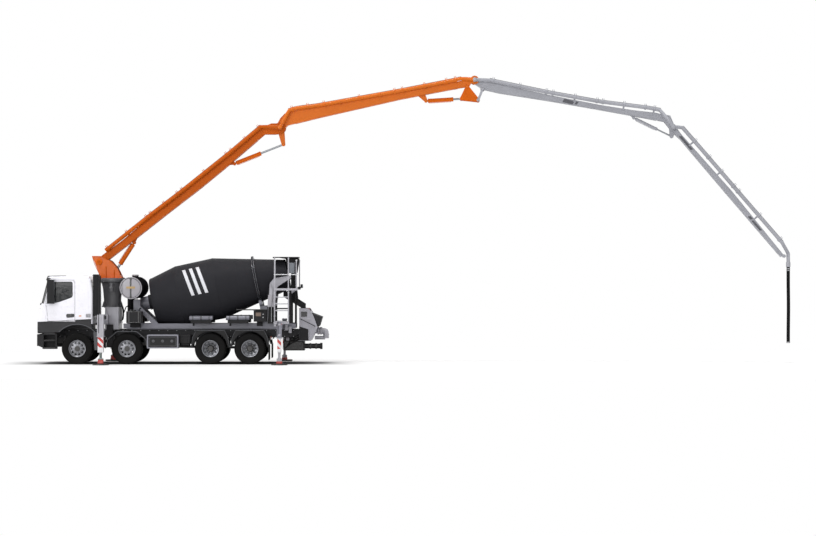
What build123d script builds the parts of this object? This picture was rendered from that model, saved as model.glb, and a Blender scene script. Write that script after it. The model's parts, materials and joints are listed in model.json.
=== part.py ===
from build123d import *
from dataclasses import dataclass
import math
import os

# Truck-mounted concrete mixer and pump, in millimetres.
# While it is drawn, X runs rearwards from the first axle, Y to the right-hand side and Z up from
# the ground. place() then moves every piece forward, so that the origin lies under the middle.

# ---- driving dimensions -------------------------------------------------------------------------
FRONT_X = -1366.0
HOSE_X = 24495.0
PIPE_R = 62.0
COUPLING_WALL = 16.0
TIP_X = HOSE_X + PIPE_R + COUPLING_WALL
ORIGIN_X = (FRONT_X + TIP_X) / 2
HALF_WIDTH = 1250.0
SIDES = {"left": -1, "right": 1}
PIN_PLAY = 0.05
SEAT_GAP = 0.3
MOVING_GAP = 10.0

# wheels
TYRE_R = 538.0
TYRE_W = 300.0
RIM_R = 286.0
HUB_R = 150.0
AXLE_X = {"1": 0.0, "2": 1700.0, "3": 4550.0, "4": 5900.0}
STEERED = ("1", "2")
TWINNED = ("3", "4")
TYRE_INSET = 15.0
TWIN_GAP = 45.0
OUTER_TYRE_Y = HALF_WIDTH - TYRE_INSET - TYRE_W
INNER_TYRE_Y = OUTER_TYRE_Y - TWIN_GAP - TYRE_W
KINGPIN_Y = 900.0
KINGPIN_R = 30.0

# mudguards: rise over the second axle's tyres and over the rear ones, sheet, place of the side panels
MUDGUARD_GAP = 39.0
HOOP_GAP = 62.0
MUDGUARD_WALL = 12.0
MUDGUARD_SIDE = 134.0
MUDGUARD_BAR = (-16.0, 27.0)

# chassis
RAIL_Y = (385.0, 425.0)
RAIL_Z = (900.0, 1180.0)
RAIL_X = (-1180.0, 7550.0)
SUBFRAME_X = (1503.0, 6490.0)
SUBFRAME_Z = (1213.0, 1383.0)
SUBFRAME_Y = (440.0, 560.0)

# gear along the sides: round tubes, control boxes, oil tanks and the air stack
SIDE_TUBES_X = ((3792.0, 4612.0), (5056.0, 5875.0))
SIDE_TUBE_Y = 820.0
SIDE_TUBE_Z = 1580.0
SIDE_TUBE_R = 75.0
CONTROL_BOX_X = (6012.0, 6456.0)
CONTROL_BOX_Z = (1452.0, 1828.0)
LOCKER_X = (AXLE_X["2"] + TYRE_R + MUDGUARD_SIDE + 19, 3450.0)
LOCKER_Y = (700.0, HALF_WIDTH - 30)
LOCKER_Z = (547.0, 1008.0)
OIL_TANK_X = (1674.0, 2186.0)
OIL_TANK_Z = (1418.0, 1810.0)
STACK_X = (540.0, 700.0)
STACK_Z = (1657.0, 3057.0)

# cab
CAB_WALL = 45.0
CAB_Y = HALF_WIDTH - 5
CAB_FLOOR_Z = (1390.0, 1430.0)
CAB_SKIRT_Z = 1100.0
CAB_ROUND = 70.0
CAB_EDGE = ((FRONT_X, 1452.0), (530.0, 1554.0))
CAB_PIVOT = (-1300.0, 1095.0)
DOOR_HINGE = (-1085.0, 1250.0)
HINGE_Z = (1600.0, 2020.0)
ARCH_R = 820.0
CAB_OUTLINE = [(FRONT_X + 4, CAB_SKIRT_Z), (FRONT_X + 4, 1452), (-1349, 1500), (-1230, 2067),
               (-991, 2989), (-930, 3006), (400, 3006), (470, 2900), (530, 2450), (530, CAB_SKIRT_Z)]
DOOR_OUTLINE = [(-1000, 1470), (-68, 1470), (-68, 2780), (-110, 2890), (-900, 2890), (-1075, 2180)]
WINDOW_OUTLINE = [(-1000, 2067), (-640, 2110), (-137, 2290), (-137, 2800), (-180, 2840), (-880, 2840)]
VISOR_OUTLINE = [(-1075, 2880), (-1012, 3028), (-720, 3028), (-720, 2990), (-960, 2960), (-1030, 2880)]
VISOR_Y = 1150.0
MIRROR_X = (-990.0, -760.0)
MIRROR_Z = (2085.0, 2890.0)
MIRROR_Y = (1290.0, 1460.0)
MIRROR_ARM_R = 16.0
MIRROR_ARMS_Z = (2130.0, 2830.0)

# slewing column and outriggers
SLEW_X = 1060.0
SLEW_Z = (2811.0, 2949.0)
SLEW_R = 430.0
COLUMN_Z = (1943.0, SLEW_Z[0])
OUTRIGGER_Y = 1750.0
PAD_R = 280.0
FRONT_LEG_X = 874.0
REAR_LEG_X = 6938.0
ARM_BOX_Z = (1370.0, 1690.0)
ARM_HALF = 105.0
ARM_Z = {"left": (1388.0, 1520.0), "right": (1540.0, 1672.0)}
ARM_INNER_Y = -400.0
LEG_WALL = 15.0
ARM_TRAVEL = 610.0
FRONT_LEG_W = 220.0
FRONT_LEG_Z = (960.0, 1690.0)
REAR_LEG_W = 160.0
REAR_LEG_Z = (900.0, 1500.0)
LEG_CAP = 20.0
JACK_LIFT = 380.0
GUIDE_Y = OUTRIGGER_Y - FRONT_LEG_W / 2 - ARM_TRAVEL - MOVING_GAP

# mixing drum: its axis rises to the rear
DRUM_TILT = 11.5
DRUM_RING = (6070.0, 2862.0)
DRUM_WALL = 12.0
DRUM_BOSS = (-3800.0, 260.0)
RING_R = 855.0
ROLLER_R = 110.0
ROLLER_ANGLE = 35.0
# (distance along the axis from the roller ring, outside radius)
DRUM_PROFILE = [(-3645, 785), (-2690, 1045), (-1360, 1065), (0, 758), (723, 597), (1100, 510)]

# pump outlet: (end in X, height), place to the side, pipe, bore and the rim that a clamp coupling grips
OUTLET = (8350.0, 600.0)
OUTLET_Y = -240.0
OUTLET_R = 86.0
OUTLET_BORE_R = 76.0
OUTLET_BORE_DEPTH = 400.0
OUTLET_RIM_R = 110.0
OUTLET_RIM_LENGTH = 80.0

# receiving hopper: outline from the front top round to the front foot, half width, wall, splash guard
HOPPER_OUTLINE = [(7563.0, 1905.0), (7890.0, 1895.0), (8040.0, 1660.0), (8190.0, 1260.0), (7960.0, 789.0),
                  (7563.0, 789.0)]
HOPPER_Y = 700.0
HOPPER_WALL = 30.0
GUARD_OUTLINE = [(7960.0, 1735.0), (8332.0, 1590.0), (8235.0, 1290.0), (8160.0, 1290.0)]
GUARD_ROOM = [(7960.0, 1790.0), (8297.0, 1640.0), (8205.0, 1330.0), (8100.0, 1330.0)]
GUARD_Y = 650.0
ELBOW_ROUTE = [(8100.0, 0.0, 1120.0), (8465.0, 0.0, 1120.0), (8465.0, 0.0, 875.0)]
ELBOW_R = 94.0
ELBOW_BEND = 160.0
ELBOW_COLLARS_X = (8200.0, 8290.0)

# rear drum stand: outline of its side plates, their place, and the beam under them
STAND_OUTLINE = [(6475.0, 1383.0), (6725.0, 1383.0), (6725.0, 2050.0), (6800.0, 2640.0), (7290.0, 2960.0),
                 (7290.0, 3040.0), (6700.0, 2940.0), (6560.0, 2760.0)]
STAND_Y = (790.0, 835.0)
STAND_BEAM_Z = (SUBFRAME_Z[1], SUBFRAME_Z[1] + 50)

# delivery boom: four arms, each lying along X with its root pin at the origin and its top towards Z
BOOM_ROOT = (624.0, 3504.0)


@dataclass(frozen=True)
class Arm:
    """One boom arm: size, lie and the outline of its box."""
    name: str
    length: float
    elevation: float
    half_width: float
    wall: float
    cheek: float
    root_r: float
    tip_r: float
    pin_r: float
    slot_from: float
    lower: tuple
    upper: tuple
    pipe: tuple


ARMS = [
    Arm(name="boom_1", length=7798, elevation=36.6, half_width=200, wall=10, cheek=30,
        root_r=150, tip_r=190, pin_r=60, slot_from=6950,
        lower=((0, -130), (1440, -96), (2983, -55), (4296, -33), (5415, 20), (7232, 141), (7500, -60),
               (7700, -180)),
        upper=((0, 120), (1012, 115), (2364, 185), (3675, 206), (5895, 287), (7344, 372),
               (7640, 300), (7798, 185)),
        pipe=((420, 175), (2364, 240), (3675, 256), (5895, 335), (7300, 420))),
    Arm(name="boom_2", length=6928, elevation=13.8, half_width=160, wall=8, cheek=25,
        root_r=170, tip_r=150, pin_r=50, slot_from=6330,
        lower=((0, -150), (278, 20), (1418, 20), (4262, -30), (6025, -120), (6700, -170)),
        upper=((-76, 150), (62, 300), (267, 430), (700, 454), (1502, 371), (4315, 193), (6079, 107),
               (6928, 60)),
        pipe=((420, 500), (700, 520), (1502, 430), (4315, 250), (6079, 165), (6500, 150))),
    Arm(name="boom_3", length=7059, elevation=-13.4, half_width=125, wall=8, cheek=20,
        root_r=130, tip_r=120, pin_r=45, slot_from=6500,
        lower=((0, -125), (325, -244), (964, -236), (2715, -97), (4472, 10), (5634, 72), (6724, 120),
               (7000, -90)),
        upper=((0, 27), (892, 68), (2680, 90), (4436, 162), (5591, 251), (6352, 345), (6878, 375),
               (7075, 110)),
        pipe=((500, 110), (2636, 170), (4395, 270), (6063, 450), (6500, 470))),
    Arm(name="boom_4", length=5901, elevation=-49.1, half_width=95, wall=6, cheek=15,
        root_r=95, tip_r=60, pin_r=38, slot_from=5900,
        lower=((0, -90), (150, -110), (500, -70), (2900, -95), (5850, -105)),
        upper=((0, 90), (400, 60), (3000, 95), (5850, 0)),
        pipe=((200, 237), (1500, 240), (3000, 237), (5500, 237))),
]
PIN_HEAD = (2.0, 10.0)
PIPE_WALL = 8.0
BEND_R = 130.0
CLAMP_HALF = 30.0
CLAMP_WALL = 16.0
CLAMP_INSET = PIPE_R - 4
PIPE_GAP = 15.0


@dataclass(frozen=True)
class Ram:
    """One boom cylinder: ends at rest in the drawing frame, sizes and travel."""
    name: str
    root: tuple
    eye: tuple
    barrel_r: float
    rod_r: float
    pin_r: float
    barrel_length: float
    piston_at: float
    eye_half_width: float


RAMS = [
    Ram("lift_ram", (1811.0, 4177.0), (1127.0, 3123.0), 78, 40, 35, 890, 352, 45),
    Ram("fold_2_ram", (5287.0, 6911.0), (6989.0, 7580.0), 70, 35, 32, 990, 570, 45),
    Ram("fold_3_ram", (11931.0, 9089.0), (13163.0, 9165.0), 70, 35, 32, 950, 200, 40),
    Ram("fold_4_ram", (19138.0, 8500.0), (20448.0, 7857.0), 52, 28, 26, 900, 520, 35),
]
ROCKER_PIVOT = (13354.0, 9575.0)
ROCKER_LINK_PIN = (13735.0, 9106.0)
BOOM_3_LINK_PIN = (13891.0, 9487.0)
BOOM_3_LINK_R = 35.0
LINK_PLATE = 18.0
ROCKER_Y = ARMS[1].half_width + PIN_HEAD[1] + 8
LINK_Y = ROCKER_Y + LINK_PLATE + 6
HOSE_R = 60.0
HOSE_Z = (695.0, 3331.0)


# ---- shape helpers ------------------------------------------------------------------------------
def block(x, y, z):
    """Box between the given (low, high) pairs."""
    size = [high - low for low, high in (x, y, z)]
    corner = Location((x[0], y[0], z[0]))
    return corner * Box(*size, align=(Align.MIN, Align.MIN, Align.MIN))


def side_plate(outline, y):
    """Outline in X and Z, thick between the two Y values."""
    plane = Plane(origin=(0, y[1], 0), x_dir=(1, 0, 0), z_dir=(0, -1, 0))
    return extrude(plane * Polygon(*outline, align=None), amount=y[1] - y[0], dir=(0, -1, 0))


def tube(start, end, radius):
    """Round bar between two points."""
    axis = Vector(*end) - Vector(*start)
    lie = Plane(origin=start, z_dir=axis)
    return lie * Cylinder(radius, axis.length, align=(Align.CENTER, Align.CENTER, Align.MIN))


def cross_pin(at, radius, y):
    """Round bar along Y through the point (X, Z)."""
    return tube((at[0], y[0], at[1]), (at[0], y[1], at[1]), radius)


def both_sides(shape):
    """The shape and its mirror image across the middle plane, as a list."""
    return [shape, mirror(shape, about=Plane.XZ)]


def joined(shapes):
    """All the shapes as one."""
    shapes = list(shapes)
    return shapes[0] + shapes[1:]


def built_up(shapes):
    """All the shapes as one, added one after another."""
    whole = shapes[0]
    for shape in shapes[1:]:
        whole = whole + shape
    return whole


def lying(at, elevation):
    """Where a thing drawn along X lies: its root at (X, Z), its far end raised by the angle."""
    return Location((at[0], 0, at[1]), (0, -elevation, 0))


def local(point, at, elevation):
    """The point (X, Z) seen from a frame that lies as lying() says."""
    dx, dz = point[0] - at[0], point[1] - at[1]
    cosine, sine = math.cos(math.radians(elevation)), math.sin(math.radians(elevation))
    return dx * cosine + dz * sine, dz * cosine - dx * sine


def arm_roots():
    """The (X, Z) of each arm's root pin, and of the boom's tip."""
    points = [BOOM_ROOT]
    for arm in ARMS:
        x, z = points[-1]
        turn = math.radians(arm.elevation)
        points.append((x + arm.length * math.cos(turn), z + arm.length * math.sin(turn)))
    return points


ROOTS = arm_roots()
NODES = {}


def keep(name, shape):
    """Stores a finished piece under its node name."""
    NODES[name] = shape


# ---- wheels, axles and steering -----------------------------------------------------------------
def ring_about_y(profile):
    """Turns an outline in Y and radius about the Y axis."""
    plane = Plane(origin=(0, 0, 0), x_dir=(0, 1, 0), z_dir=(1, 0, 0))
    return revolve(plane * Polygon(*profile, align=None), axis=Axis.Y)


def tyre(y):
    """A tyre between the two Y values, centred on the Y axis."""
    low, high = y
    shoulder = 32
    bead = 40
    return ring_about_y([(low + bead, RIM_R), (low, RIM_R + 110), (low, TYRE_R - 70),
                         (low + shoulder, TYRE_R - 12), (low + 70, TYRE_R), (high - 70, TYRE_R),
                         (high - shoulder, TYRE_R - 12), (high, TYRE_R - 70), (high, RIM_R + 110),
                         (high - bead, RIM_R)])


def rim(y, disc):
    """A rim inside the tyre at y, with its dished disc between the two Y values of disc."""
    low, high = y
    barrel = ring_about_y([(low + 30, RIM_R - 22), (low + 30, RIM_R - 1), (high - 30, RIM_R - 1),
                           (high - 30, RIM_R - 22)])
    plate = ring_about_y([(disc[0], 60), (disc[0], RIM_R - 10), (disc[1], RIM_R - 10), (disc[1], 60)])
    return barrel + plate


def make_wheels():
    """Tyres, rims and knuckles at all eight wheel places."""
    for axle, x in AXLE_X.items():
        for side, sign in SIDES.items():
            place_here = Location((x, 0, TYRE_R))
            outer = (OUTER_TYRE_Y, OUTER_TYRE_Y + TYRE_W)
            inner = (INNER_TYRE_Y, INNER_TYRE_Y + TYRE_W)
            rubber = [tyre(outer)]
            if axle in TWINNED:
                disc_outer = (OUTER_TYRE_Y - 10, OUTER_TYRE_Y + 50)
                metal = [rim(outer, disc_outer), rim(inner, (INNER_TYRE_Y + TYRE_W - 60, OUTER_TYRE_Y - 10)),
                         ring_about_y([(disc_outer[0], 60), (disc_outer[0], HUB_R),
                                       (OUTER_TYRE_Y + 190, HUB_R - 30), (OUTER_TYRE_Y + 190, 60)])]
                rubber.append(tyre(inner))
            else:
                disc_outer = (OUTER_TYRE_Y + 210, OUTER_TYRE_Y + 235)
                metal = [rim(outer, disc_outer),
                         ring_about_y([(disc_outer[0] - 60, 60), (disc_outer[0] - 60, HUB_R),
                                       (disc_outer[1] + 40, HUB_R - 40), (disc_outer[1] + 40, 60)])]
            keep(f"tyre_{axle}_{side}", Compound([mirrored(place_here * piece, sign) for piece in rubber]))
            keep(f"rim_{axle}_{side}", mirrored(place_here * joined(metal), sign))
            if axle in STEERED:
                keep(f"knuckle_{axle}_{side}", mirrored(place_here * knuckle(), sign))


def mirrored(shape, sign):
    """The shape on the right-hand side, or its mirror image on the left."""
    return shape if sign > 0 else mirror(shape, about=Plane.XZ)


def knuckle():
    """A steering knuckle: kingpin, fork and stub axle, on a wheel centred on the Y axis."""
    return joined([
        tube((0, KINGPIN_Y, -130), (0, KINGPIN_Y, 130), KINGPIN_R),
        block((-55, 55), (KINGPIN_Y - 50, KINGPIN_Y + 95), (95, 130)),
        block((-55, 55), (KINGPIN_Y - 50, KINGPIN_Y + 95), (-130, -95)),
        block((-80, 80), (KINGPIN_Y + 70, KINGPIN_Y + 100), (-130, 130)),
        tube((0, KINGPIN_Y + 100, 0), (0, OUTER_TYRE_Y + 260, 0), 60 - PIN_PLAY)])


def make_axles():
    """Axle beams with their leaf springs, one solid for each axle."""
    beams = []
    for axle, x in AXLE_X.items():
        springs = both_sides(joined([
            block((x - 560, x + 560), (432, 512), (640, 700)),
            block((x - 560, x - 500), (RAIL_Y[1], 512), (640, 960)),
            block((x + 500, x + 560), (RAIL_Y[1], 512), (640, 960)),
            block((x - 60, x + 60), (432, 512), (TYRE_R, 700))]))
        if axle in STEERED:
            eye = tube((x, KINGPIN_Y, TYRE_R - 85), (x, KINGPIN_Y, TYRE_R + 85), 60)
            beam = joined([block((x - 55, x + 55), (-KINGPIN_Y + 30, KINGPIN_Y - 30),
                                 (TYRE_R - 60, TYRE_R + 60))] + both_sides(eye))
            hole = tube((x, KINGPIN_Y, 0), (x, KINGPIN_Y, 2 * TYRE_R), KINGPIN_R + PIN_PLAY)
            beam = beam - both_sides(hole)
        else:
            beam = joined([tube((x, -OUTER_TYRE_Y - 150, TYRE_R), (x, OUTER_TYRE_Y + 150, TYRE_R),
                                60 - PIN_PLAY),
                           tube((x, -INNER_TYRE_Y + 50, TYRE_R), (x, INNER_TYRE_Y - 50, TYRE_R), 95),
                           Location((x, 0, TYRE_R)) * Sphere(215)])
        beams.append(joined([beam] + springs))
    keep("axles", Compound(beams))


# ---- chassis ------------------------------------------------------------------------------------
def make_frame():
    """Chassis rails and cross members, with the cab's hinge brackets in front."""
    rails = both_sides(block(RAIL_X, RAIL_Y, RAIL_Z))
    members = [block((x, x + 120), (-RAIL_Y[0] - 5, RAIL_Y[0] + 5), (RAIL_Z[0] + 60, RAIL_Z[1] - 60))
               for x in (-1180, 620, 2600, 3700, 5200, 6600, 7420)]
    cab_rest = block((330, 420), (-RAIL_Y[1], RAIL_Y[1]), (RAIL_Z[1] - 20, CAB_FLOOR_Z[0] - MOVING_GAP))
    ears = []
    for sign in (-1, 1):
        for y in ((340, 355), (385, 400)):
            low, high = sorted((sign * y[0], sign * y[1]))
            px, pz = CAB_PIVOT
            ears += [block((px - 28, px + 28), (low, high), (RAIL_Z[0], pz)),
                     cross_pin(CAB_PIVOT, 28, (low, high)),
                     block((px - 28, RAIL_X[0] + 60), (low, high), (RAIL_Z[0], RAIL_Z[0] + 120))]
        low, high = sorted((sign * 330, sign * 410))
        ears.append(cross_pin(CAB_PIVOT, 14, (low, high)))
        ears.append(block((CAB_PIVOT[0] - 28, RAIL_X[0] + 60), sorted((sign * 340, sign * 400)),
                          (RAIL_Z[0], RAIL_Z[0] + 60)))
    keep("chassis_frame", joined(rails + members + [cab_rest] + ears))
    feet = [block((x, x + 120), (-RAIL_Y[0], RAIL_Y[0]), (930, 1000)) for x in (-850, 100)]
    keep("engine_block", joined([block((-950, 310), (-370, 370), (700, 1340))] + feet))


def make_bumper():
    """Front bumper and the cab steps, hung from the chassis."""
    face = block((FRONT_X, FRONT_X + 30), (-1240, 1240), (632, 1030))
    crossbar = block((FRONT_X + 20, RAIL_X[0] + 10), (-RAIL_Y[1], RAIL_Y[1]), (632, 720))
    hangers = both_sides(block((RAIL_X[0] - 60, RAIL_X[0] + 40), (RAIL_Y[0], RAIL_Y[1]),
                               (700, RAIL_Z[0])))
    steps = []
    for z in (529, 790, 1010):
        steps.append(block((-1180, -700), (980, 1240), (z, z + 35)))
    sides = [block((-1180, -1140), (980, 1240), (529, 1045)), block((-740, -700), (980, 1240), (529, 1045)),
             block((-1180, -700), (980, 1000), (529, 1045)),
             block((FRONT_X + 20, -1140), (1200, 1240), (632, 1030)),
             block((-1180, -1100), (RAIL_Y[0], 1000), (632, 700))]
    keep("bumper_steps", joined([face, crossbar] + hangers + both_sides(joined(steps + sides))))


def make_mudguards():
    """Mudguards over the second to fourth axles, each hung on a bar from the chassis."""
    shell = MUDGUARD_WALL
    guards = []
    second = AXLE_X["2"]
    top = 2 * TYRE_R + MUDGUARD_GAP + shell
    side = TYRE_R + MUDGUARD_SIDE
    line = [(-side, TYRE_R + 222), (-side + 12, TYRE_R + 312), (-side / 2, top), (side / 2, top),
            (side - 12, TYRE_R + 312), (side, TYRE_R + 82)]
    inner = [(x * (1 - shell / side), z - shell) for x, z in line]
    outline = [(second + x, z) for x, z in line + inner[::-1]]
    guards.append(side_plate(outline, (OUTER_TYRE_Y - 20, HALF_WIDTH)))
    for axle in TWINNED:
        centre = (AXLE_X[axle], TYRE_R)
        radius = TYRE_R + HOOP_GAP
        hoop = cross_pin(centre, radius + shell, (INNER_TYRE_Y - 10, HALF_WIDTH))
        hoop -= cross_pin(centre, radius, (INNER_TYRE_Y - 20, HALF_WIDTH + 10))
        hoop -= block((centre[0] - 2 * radius, centre[0] + 2 * radius), (0, 2 * HALF_WIDTH),
                      (-radius, TYRE_R + 102))
        guards.append(hoop)
    flap = block((6540, 6560), (INNER_TYRE_Y, HALF_WIDTH), (150, 660))
    carried = []
    hoop_top = 2 * TYRE_R + HOOP_GAP + shell
    for guard, x, height in zip(guards, (second, AXLE_X["3"], AXLE_X["4"]), (top, hoop_top, hoop_top)):
        bar = (height + MUDGUARD_BAR[0], height + MUDGUARD_BAR[1])
        carried.append(guard + block((x - 25, x + 25), (RAIL_Y[1], HALF_WIDTH - 50), bar))
    carried[-1] = carried[-1] + [flap, block((6490, 6560), (INNER_TYRE_Y, HALF_WIDTH), (640, 665))]
    keep("mudguards", Compound([piece for guard in carried for piece in both_sides(guard)]))


def make_side_gear():
    """Lockers, tanks and tubes along the sides of the chassis."""
    pieces = []
    for sign in (-1, 1):
        near = LOCKER_Y[0]
        reach = sorted((sign * RAIL_Y[1], sign * (near + 5)))
        pieces.append(block(LOCKER_X, sorted((sign * near, sign * LOCKER_Y[1])), LOCKER_Z))
        pieces.append(block((LOCKER_X[0] + 109, LOCKER_X[1] - 110), reach, (RAIL_Z[0], RAIL_Z[0] + 60)))
        inner = SUBFRAME_Y[1]
        seat_z = SUBFRAME_Z[1] + 12
        for x in SIDE_TUBES_X:
            tank = tube((x[0], sign * SIDE_TUBE_Y, SIDE_TUBE_Z), (x[1], sign * SIDE_TUBE_Y, SIDE_TUBE_Z), SIDE_TUBE_R)
            run = (x[0] + 60, x[1] - 60)
            low, high = SIDE_TUBE_Y - 60, SIDE_TUBE_Y + 60
            foot = (block(run, sorted((sign * inner, sign * high)), (seat_z, seat_z + 45))
                    + block(run, sorted((sign * low, sign * high)), (seat_z + 35, SIDE_TUBE_Z - SIDE_TUBE_R + 10)))
            arm = block((x[0] + 100, x[0] + 160), sorted((sign * inner, sign * (inner + 40))),
                        (SUBFRAME_Z[1] - 83, seat_z + 5))
            pieces.append(joined([tank, foot, arm]))
        box_x, box_z = CONTROL_BOX_X, CONTROL_BOX_Z
        pieces.append(block(box_x, sorted((sign * (inner + 5), sign * (inner + 340))), box_z)
                      + block((box_x[0] + 88, box_x[1] - 156), sorted((sign * inner, sign * (inner + 40))),
                              (SUBFRAME_Z[1] - 83, box_z[0] + 8)))
    pieces += both_sides(block(OIL_TANK_X, (SUBFRAME_Y[1] + 90, HALF_WIDTH - 50), OIL_TANK_Z)
                         + block((OIL_TANK_X[0] + 76, OIL_TANK_X[1] - 86), (SUBFRAME_Y[1], SUBFRAME_Y[1] + 140),
                                 (SUBFRAME_Z[0] + 40, OIL_TANK_Z[0] + 12)))
    pieces.append(mirrored(joined([block(STACK_X, (850, 1200), STACK_Z),
                                   block((STACK_X[0] + 20, STACK_X[1] - 60), (RAIL_Y[0], 900),
                                         (STACK_Z[0], STACK_Z[0] + 93)),
                                   block((STACK_X[0] + 20, STACK_X[0] + 80), RAIL_Y,
                                         (RAIL_Z[1], STACK_Z[0] + 43))]), -1))
    keep("side_lockers", Compound(pieces))


# ---- cab ----------------------------------------------------------------------------------------
def make_cab():
    """Hollow cab shell with its lower trim, doors, windscreen and what is inside."""
    outer = rounded_cab()
    room = side_plate([(-1310, CAB_FLOOR_Z[1]), (-1300, 1500), (-1180, 2067), (-955, 2950), (-920, 2961),
                       (390, 2961), (425, 2890), (485, 2450), (485, CAB_FLOOR_Z[1])],
                      (-CAB_Y + CAB_WALL, CAB_Y - CAB_WALL))
    below = block((FRONT_X + 50, 600), (-CAB_Y + CAB_WALL, CAB_Y - CAB_WALL), (1000, CAB_FLOOR_Z[0]))
    arch = cross_pin((AXLE_X["1"], TYRE_R), ARCH_R, (-1300, 1300))
    door_gap = 6
    doorway = side_plate(grown(DOOR_OUTLINE, door_gap), (CAB_Y - CAB_WALL - 10, CAB_Y + 10))
    screen_hole = side_plate(screen_strip((40, 905), (-140, 30)), (-1080, 1080))
    pockets = both_sides(block((FRONT_X - 5, -1262), (335, 405), (1000, 1135)))
    lugs = both_sides(joined([cross_pin(CAB_PIVOT, 26, (357, 383)),
                              block((CAB_PIVOT[0] - 8, CAB_PIVOT[0] + 26), (357, 383),
                                    (CAB_PIVOT[1], CAB_FLOOR_Z[0] + 10))]))
    bores = both_sides(cross_pin(CAB_PIVOT, 14 + PIN_PLAY, (330, 410)))
    hollow = outer - [room, below, arch, screen_hole] - both_sides(doorway) - pockets
    skirt_zone = lower_cab_zone()
    shell = hollow - skirt_zone + lugs - bores
    hinge_x, hinge_y = DOOR_HINGE
    for z in HINGE_Z:
        shell = shell - both_sides(tube((hinge_x, hinge_y, z - 1), (hinge_x, hinge_y, z + 41), 14))
        shell += both_sides(joined([tube((hinge_x, hinge_y, z - 40), (hinge_x, hinge_y, z), 12),
                                    tube((hinge_x, hinge_y, z + 40), (hinge_x, hinge_y, z + 80), 12)]))
    keep("cab_shell", shell)
    keep("windscreen", side_plate(screen_strip((41, 904), (-14, -6)), (-1079, 1079)))
    for side, sign in SIDES.items():
        panel = side_plate(DOOR_OUTLINE, (CAB_Y - CAB_WALL + 3, CAB_Y - 2))
        panel -= side_plate(WINDOW_OUTLINE, (1000, 1400))
        for z in HINGE_Z:
            strap = (z + SEAT_GAP, z + 40 - SEAT_GAP)
            edge = DOOR_OUTLINE[0][0] + (z - 1470) / 710 * (DOOR_OUTLINE[5][0] - DOOR_OUTLINE[0][0])
            panel += [tube((hinge_x, hinge_y, strap[0]), (hinge_x, hinge_y, strap[1]), 12),
                      block((hinge_x, edge + 30), (CAB_Y + 1, CAB_Y + 9), strap),
                      block((edge + 8, edge + 30), (CAB_Y - 8, CAB_Y + 9), strap)]
        keep(f"door_{side}", mirrored(panel + mirror_unit(), sign))
    seat = joined([block((-420, 60), (380, 880), (1500, 1700)), block((0, 110), (380, 880), (1700, 2350)),
                   block((-300, 0), (500, 760), (CAB_FLOOR_Z[1], 1510))])
    dash = block((-1150, -930), (-CAB_Y + CAB_WALL, CAB_Y - CAB_WALL), (1640, 1960))
    visor = side_plate(VISOR_OUTLINE, (-VISOR_Y, VISOR_Y)) - outer
    keep("cab_trim", Compound(both_sides(seat) + [dash + block((-1240, -1140), (-300, 300), (1640, 1700)), visor]
                              + (hollow & skirt_zone).solids()))


def rounded_cab():
    """The cab's outside, the edges of its two sides rounded above the skirt."""
    outer = side_plate(CAB_OUTLINE, (-CAB_Y, CAB_Y))
    edges = [edge for edge in outer.edges()
             if abs(abs(edge.center().Y) - CAB_Y) < 1 and edge.center().Z > CAB_SKIRT_Z + 1]
    return fillet(edges, CAB_ROUND)


def lower_cab_zone():
    """What lies below the painted shell's lower edge, around the cab's floor."""
    (front, front_z), (rear, rear_z) = CAB_EDGE
    zone = side_plate([(front - 50, front_z), (rear + 50, rear_z), (rear + 50, CAB_SKIRT_Z - 50),
                       (front - 50, CAB_SKIRT_Z - 50)], (-CAB_Y - 50, CAB_Y + 50))
    floor = block((FRONT_X + 50, rear - CAB_WALL), (-CAB_Y + CAB_WALL, CAB_Y - CAB_WALL),
                  (CAB_FLOOR_Z[0], rear_z + 50))
    back = block((rear - CAB_WALL, rear + 60), (-CAB_Y - 60, CAB_Y + 60), (CAB_FLOOR_Z[0], rear_z + 50))
    return zone - [floor, back]


def mirror_unit():
    """Mirror housing of the right-hand door, on two arms from the door's frame."""
    middle = (MIRROR_X[0] + MIRROR_X[1]) / 2
    arms = [tube((middle, CAB_Y - 20, z), (middle, MIRROR_Y[0] + 20, z), MIRROR_ARM_R) for z in MIRROR_ARMS_Z]
    return [block(MIRROR_X, MIRROR_Y, MIRROR_Z)] + arms


def screen_strip(along, out):
    """A strip on the windscreen's slope, from along its foot to its top and out from its face."""
    foot, top = CAB_OUTLINE[3], CAB_OUTLINE[4]
    length = math.hypot(top[0] - foot[0], top[1] - foot[1])
    ux, uz = (top[0] - foot[0]) / length, (top[1] - foot[1]) / length
    corners = [(along[0], out[0]), (along[1], out[0]), (along[1], out[1]), (along[0], out[1])]
    return [(foot[0] + ux * t - uz * d, foot[1] + uz * t + ux * d) for t, d in corners]


def grown(outline, margin):
    """The outline pushed outwards from its middle by the margin along each axis."""
    cx = sum(x for x, z in outline) / len(outline)
    cz = sum(z for x, z in outline) / len(outline)
    return [(x + math.copysign(margin, x - cx), z + math.copysign(margin, z - cz)) for x, z in outline]


# ---- column, outriggers and superstructure ------------------------------------------------------
def make_column():
    """Slewing column on its cross box, with the guides of the front outriggers."""
    column = tube((SLEW_X, 0, COLUMN_Z[0] - 20), (SLEW_X, 0, COLUMN_Z[1] - SEAT_GAP), 295)
    base = block((867, 1335), (-560, 560), (RAIL_Z[1], COLUMN_Z[0]))
    half = ARM_HALF + 30
    guide = block((FRONT_LEG_X - half, FRONT_LEG_X + half), (-GUIDE_Y, GUIDE_Y), ARM_BOX_Z)
    holes = [block((FRONT_LEG_X - ARM_HALF - SEAT_GAP, FRONT_LEG_X + ARM_HALF + SEAT_GAP), (-1300, 1300),
                   (z[0] - SEAT_GAP, z[1] + SEAT_GAP)) for z in ARM_Z.values()]
    keep("slewing_column", joined([column, base, guide]) - holes)


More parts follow.
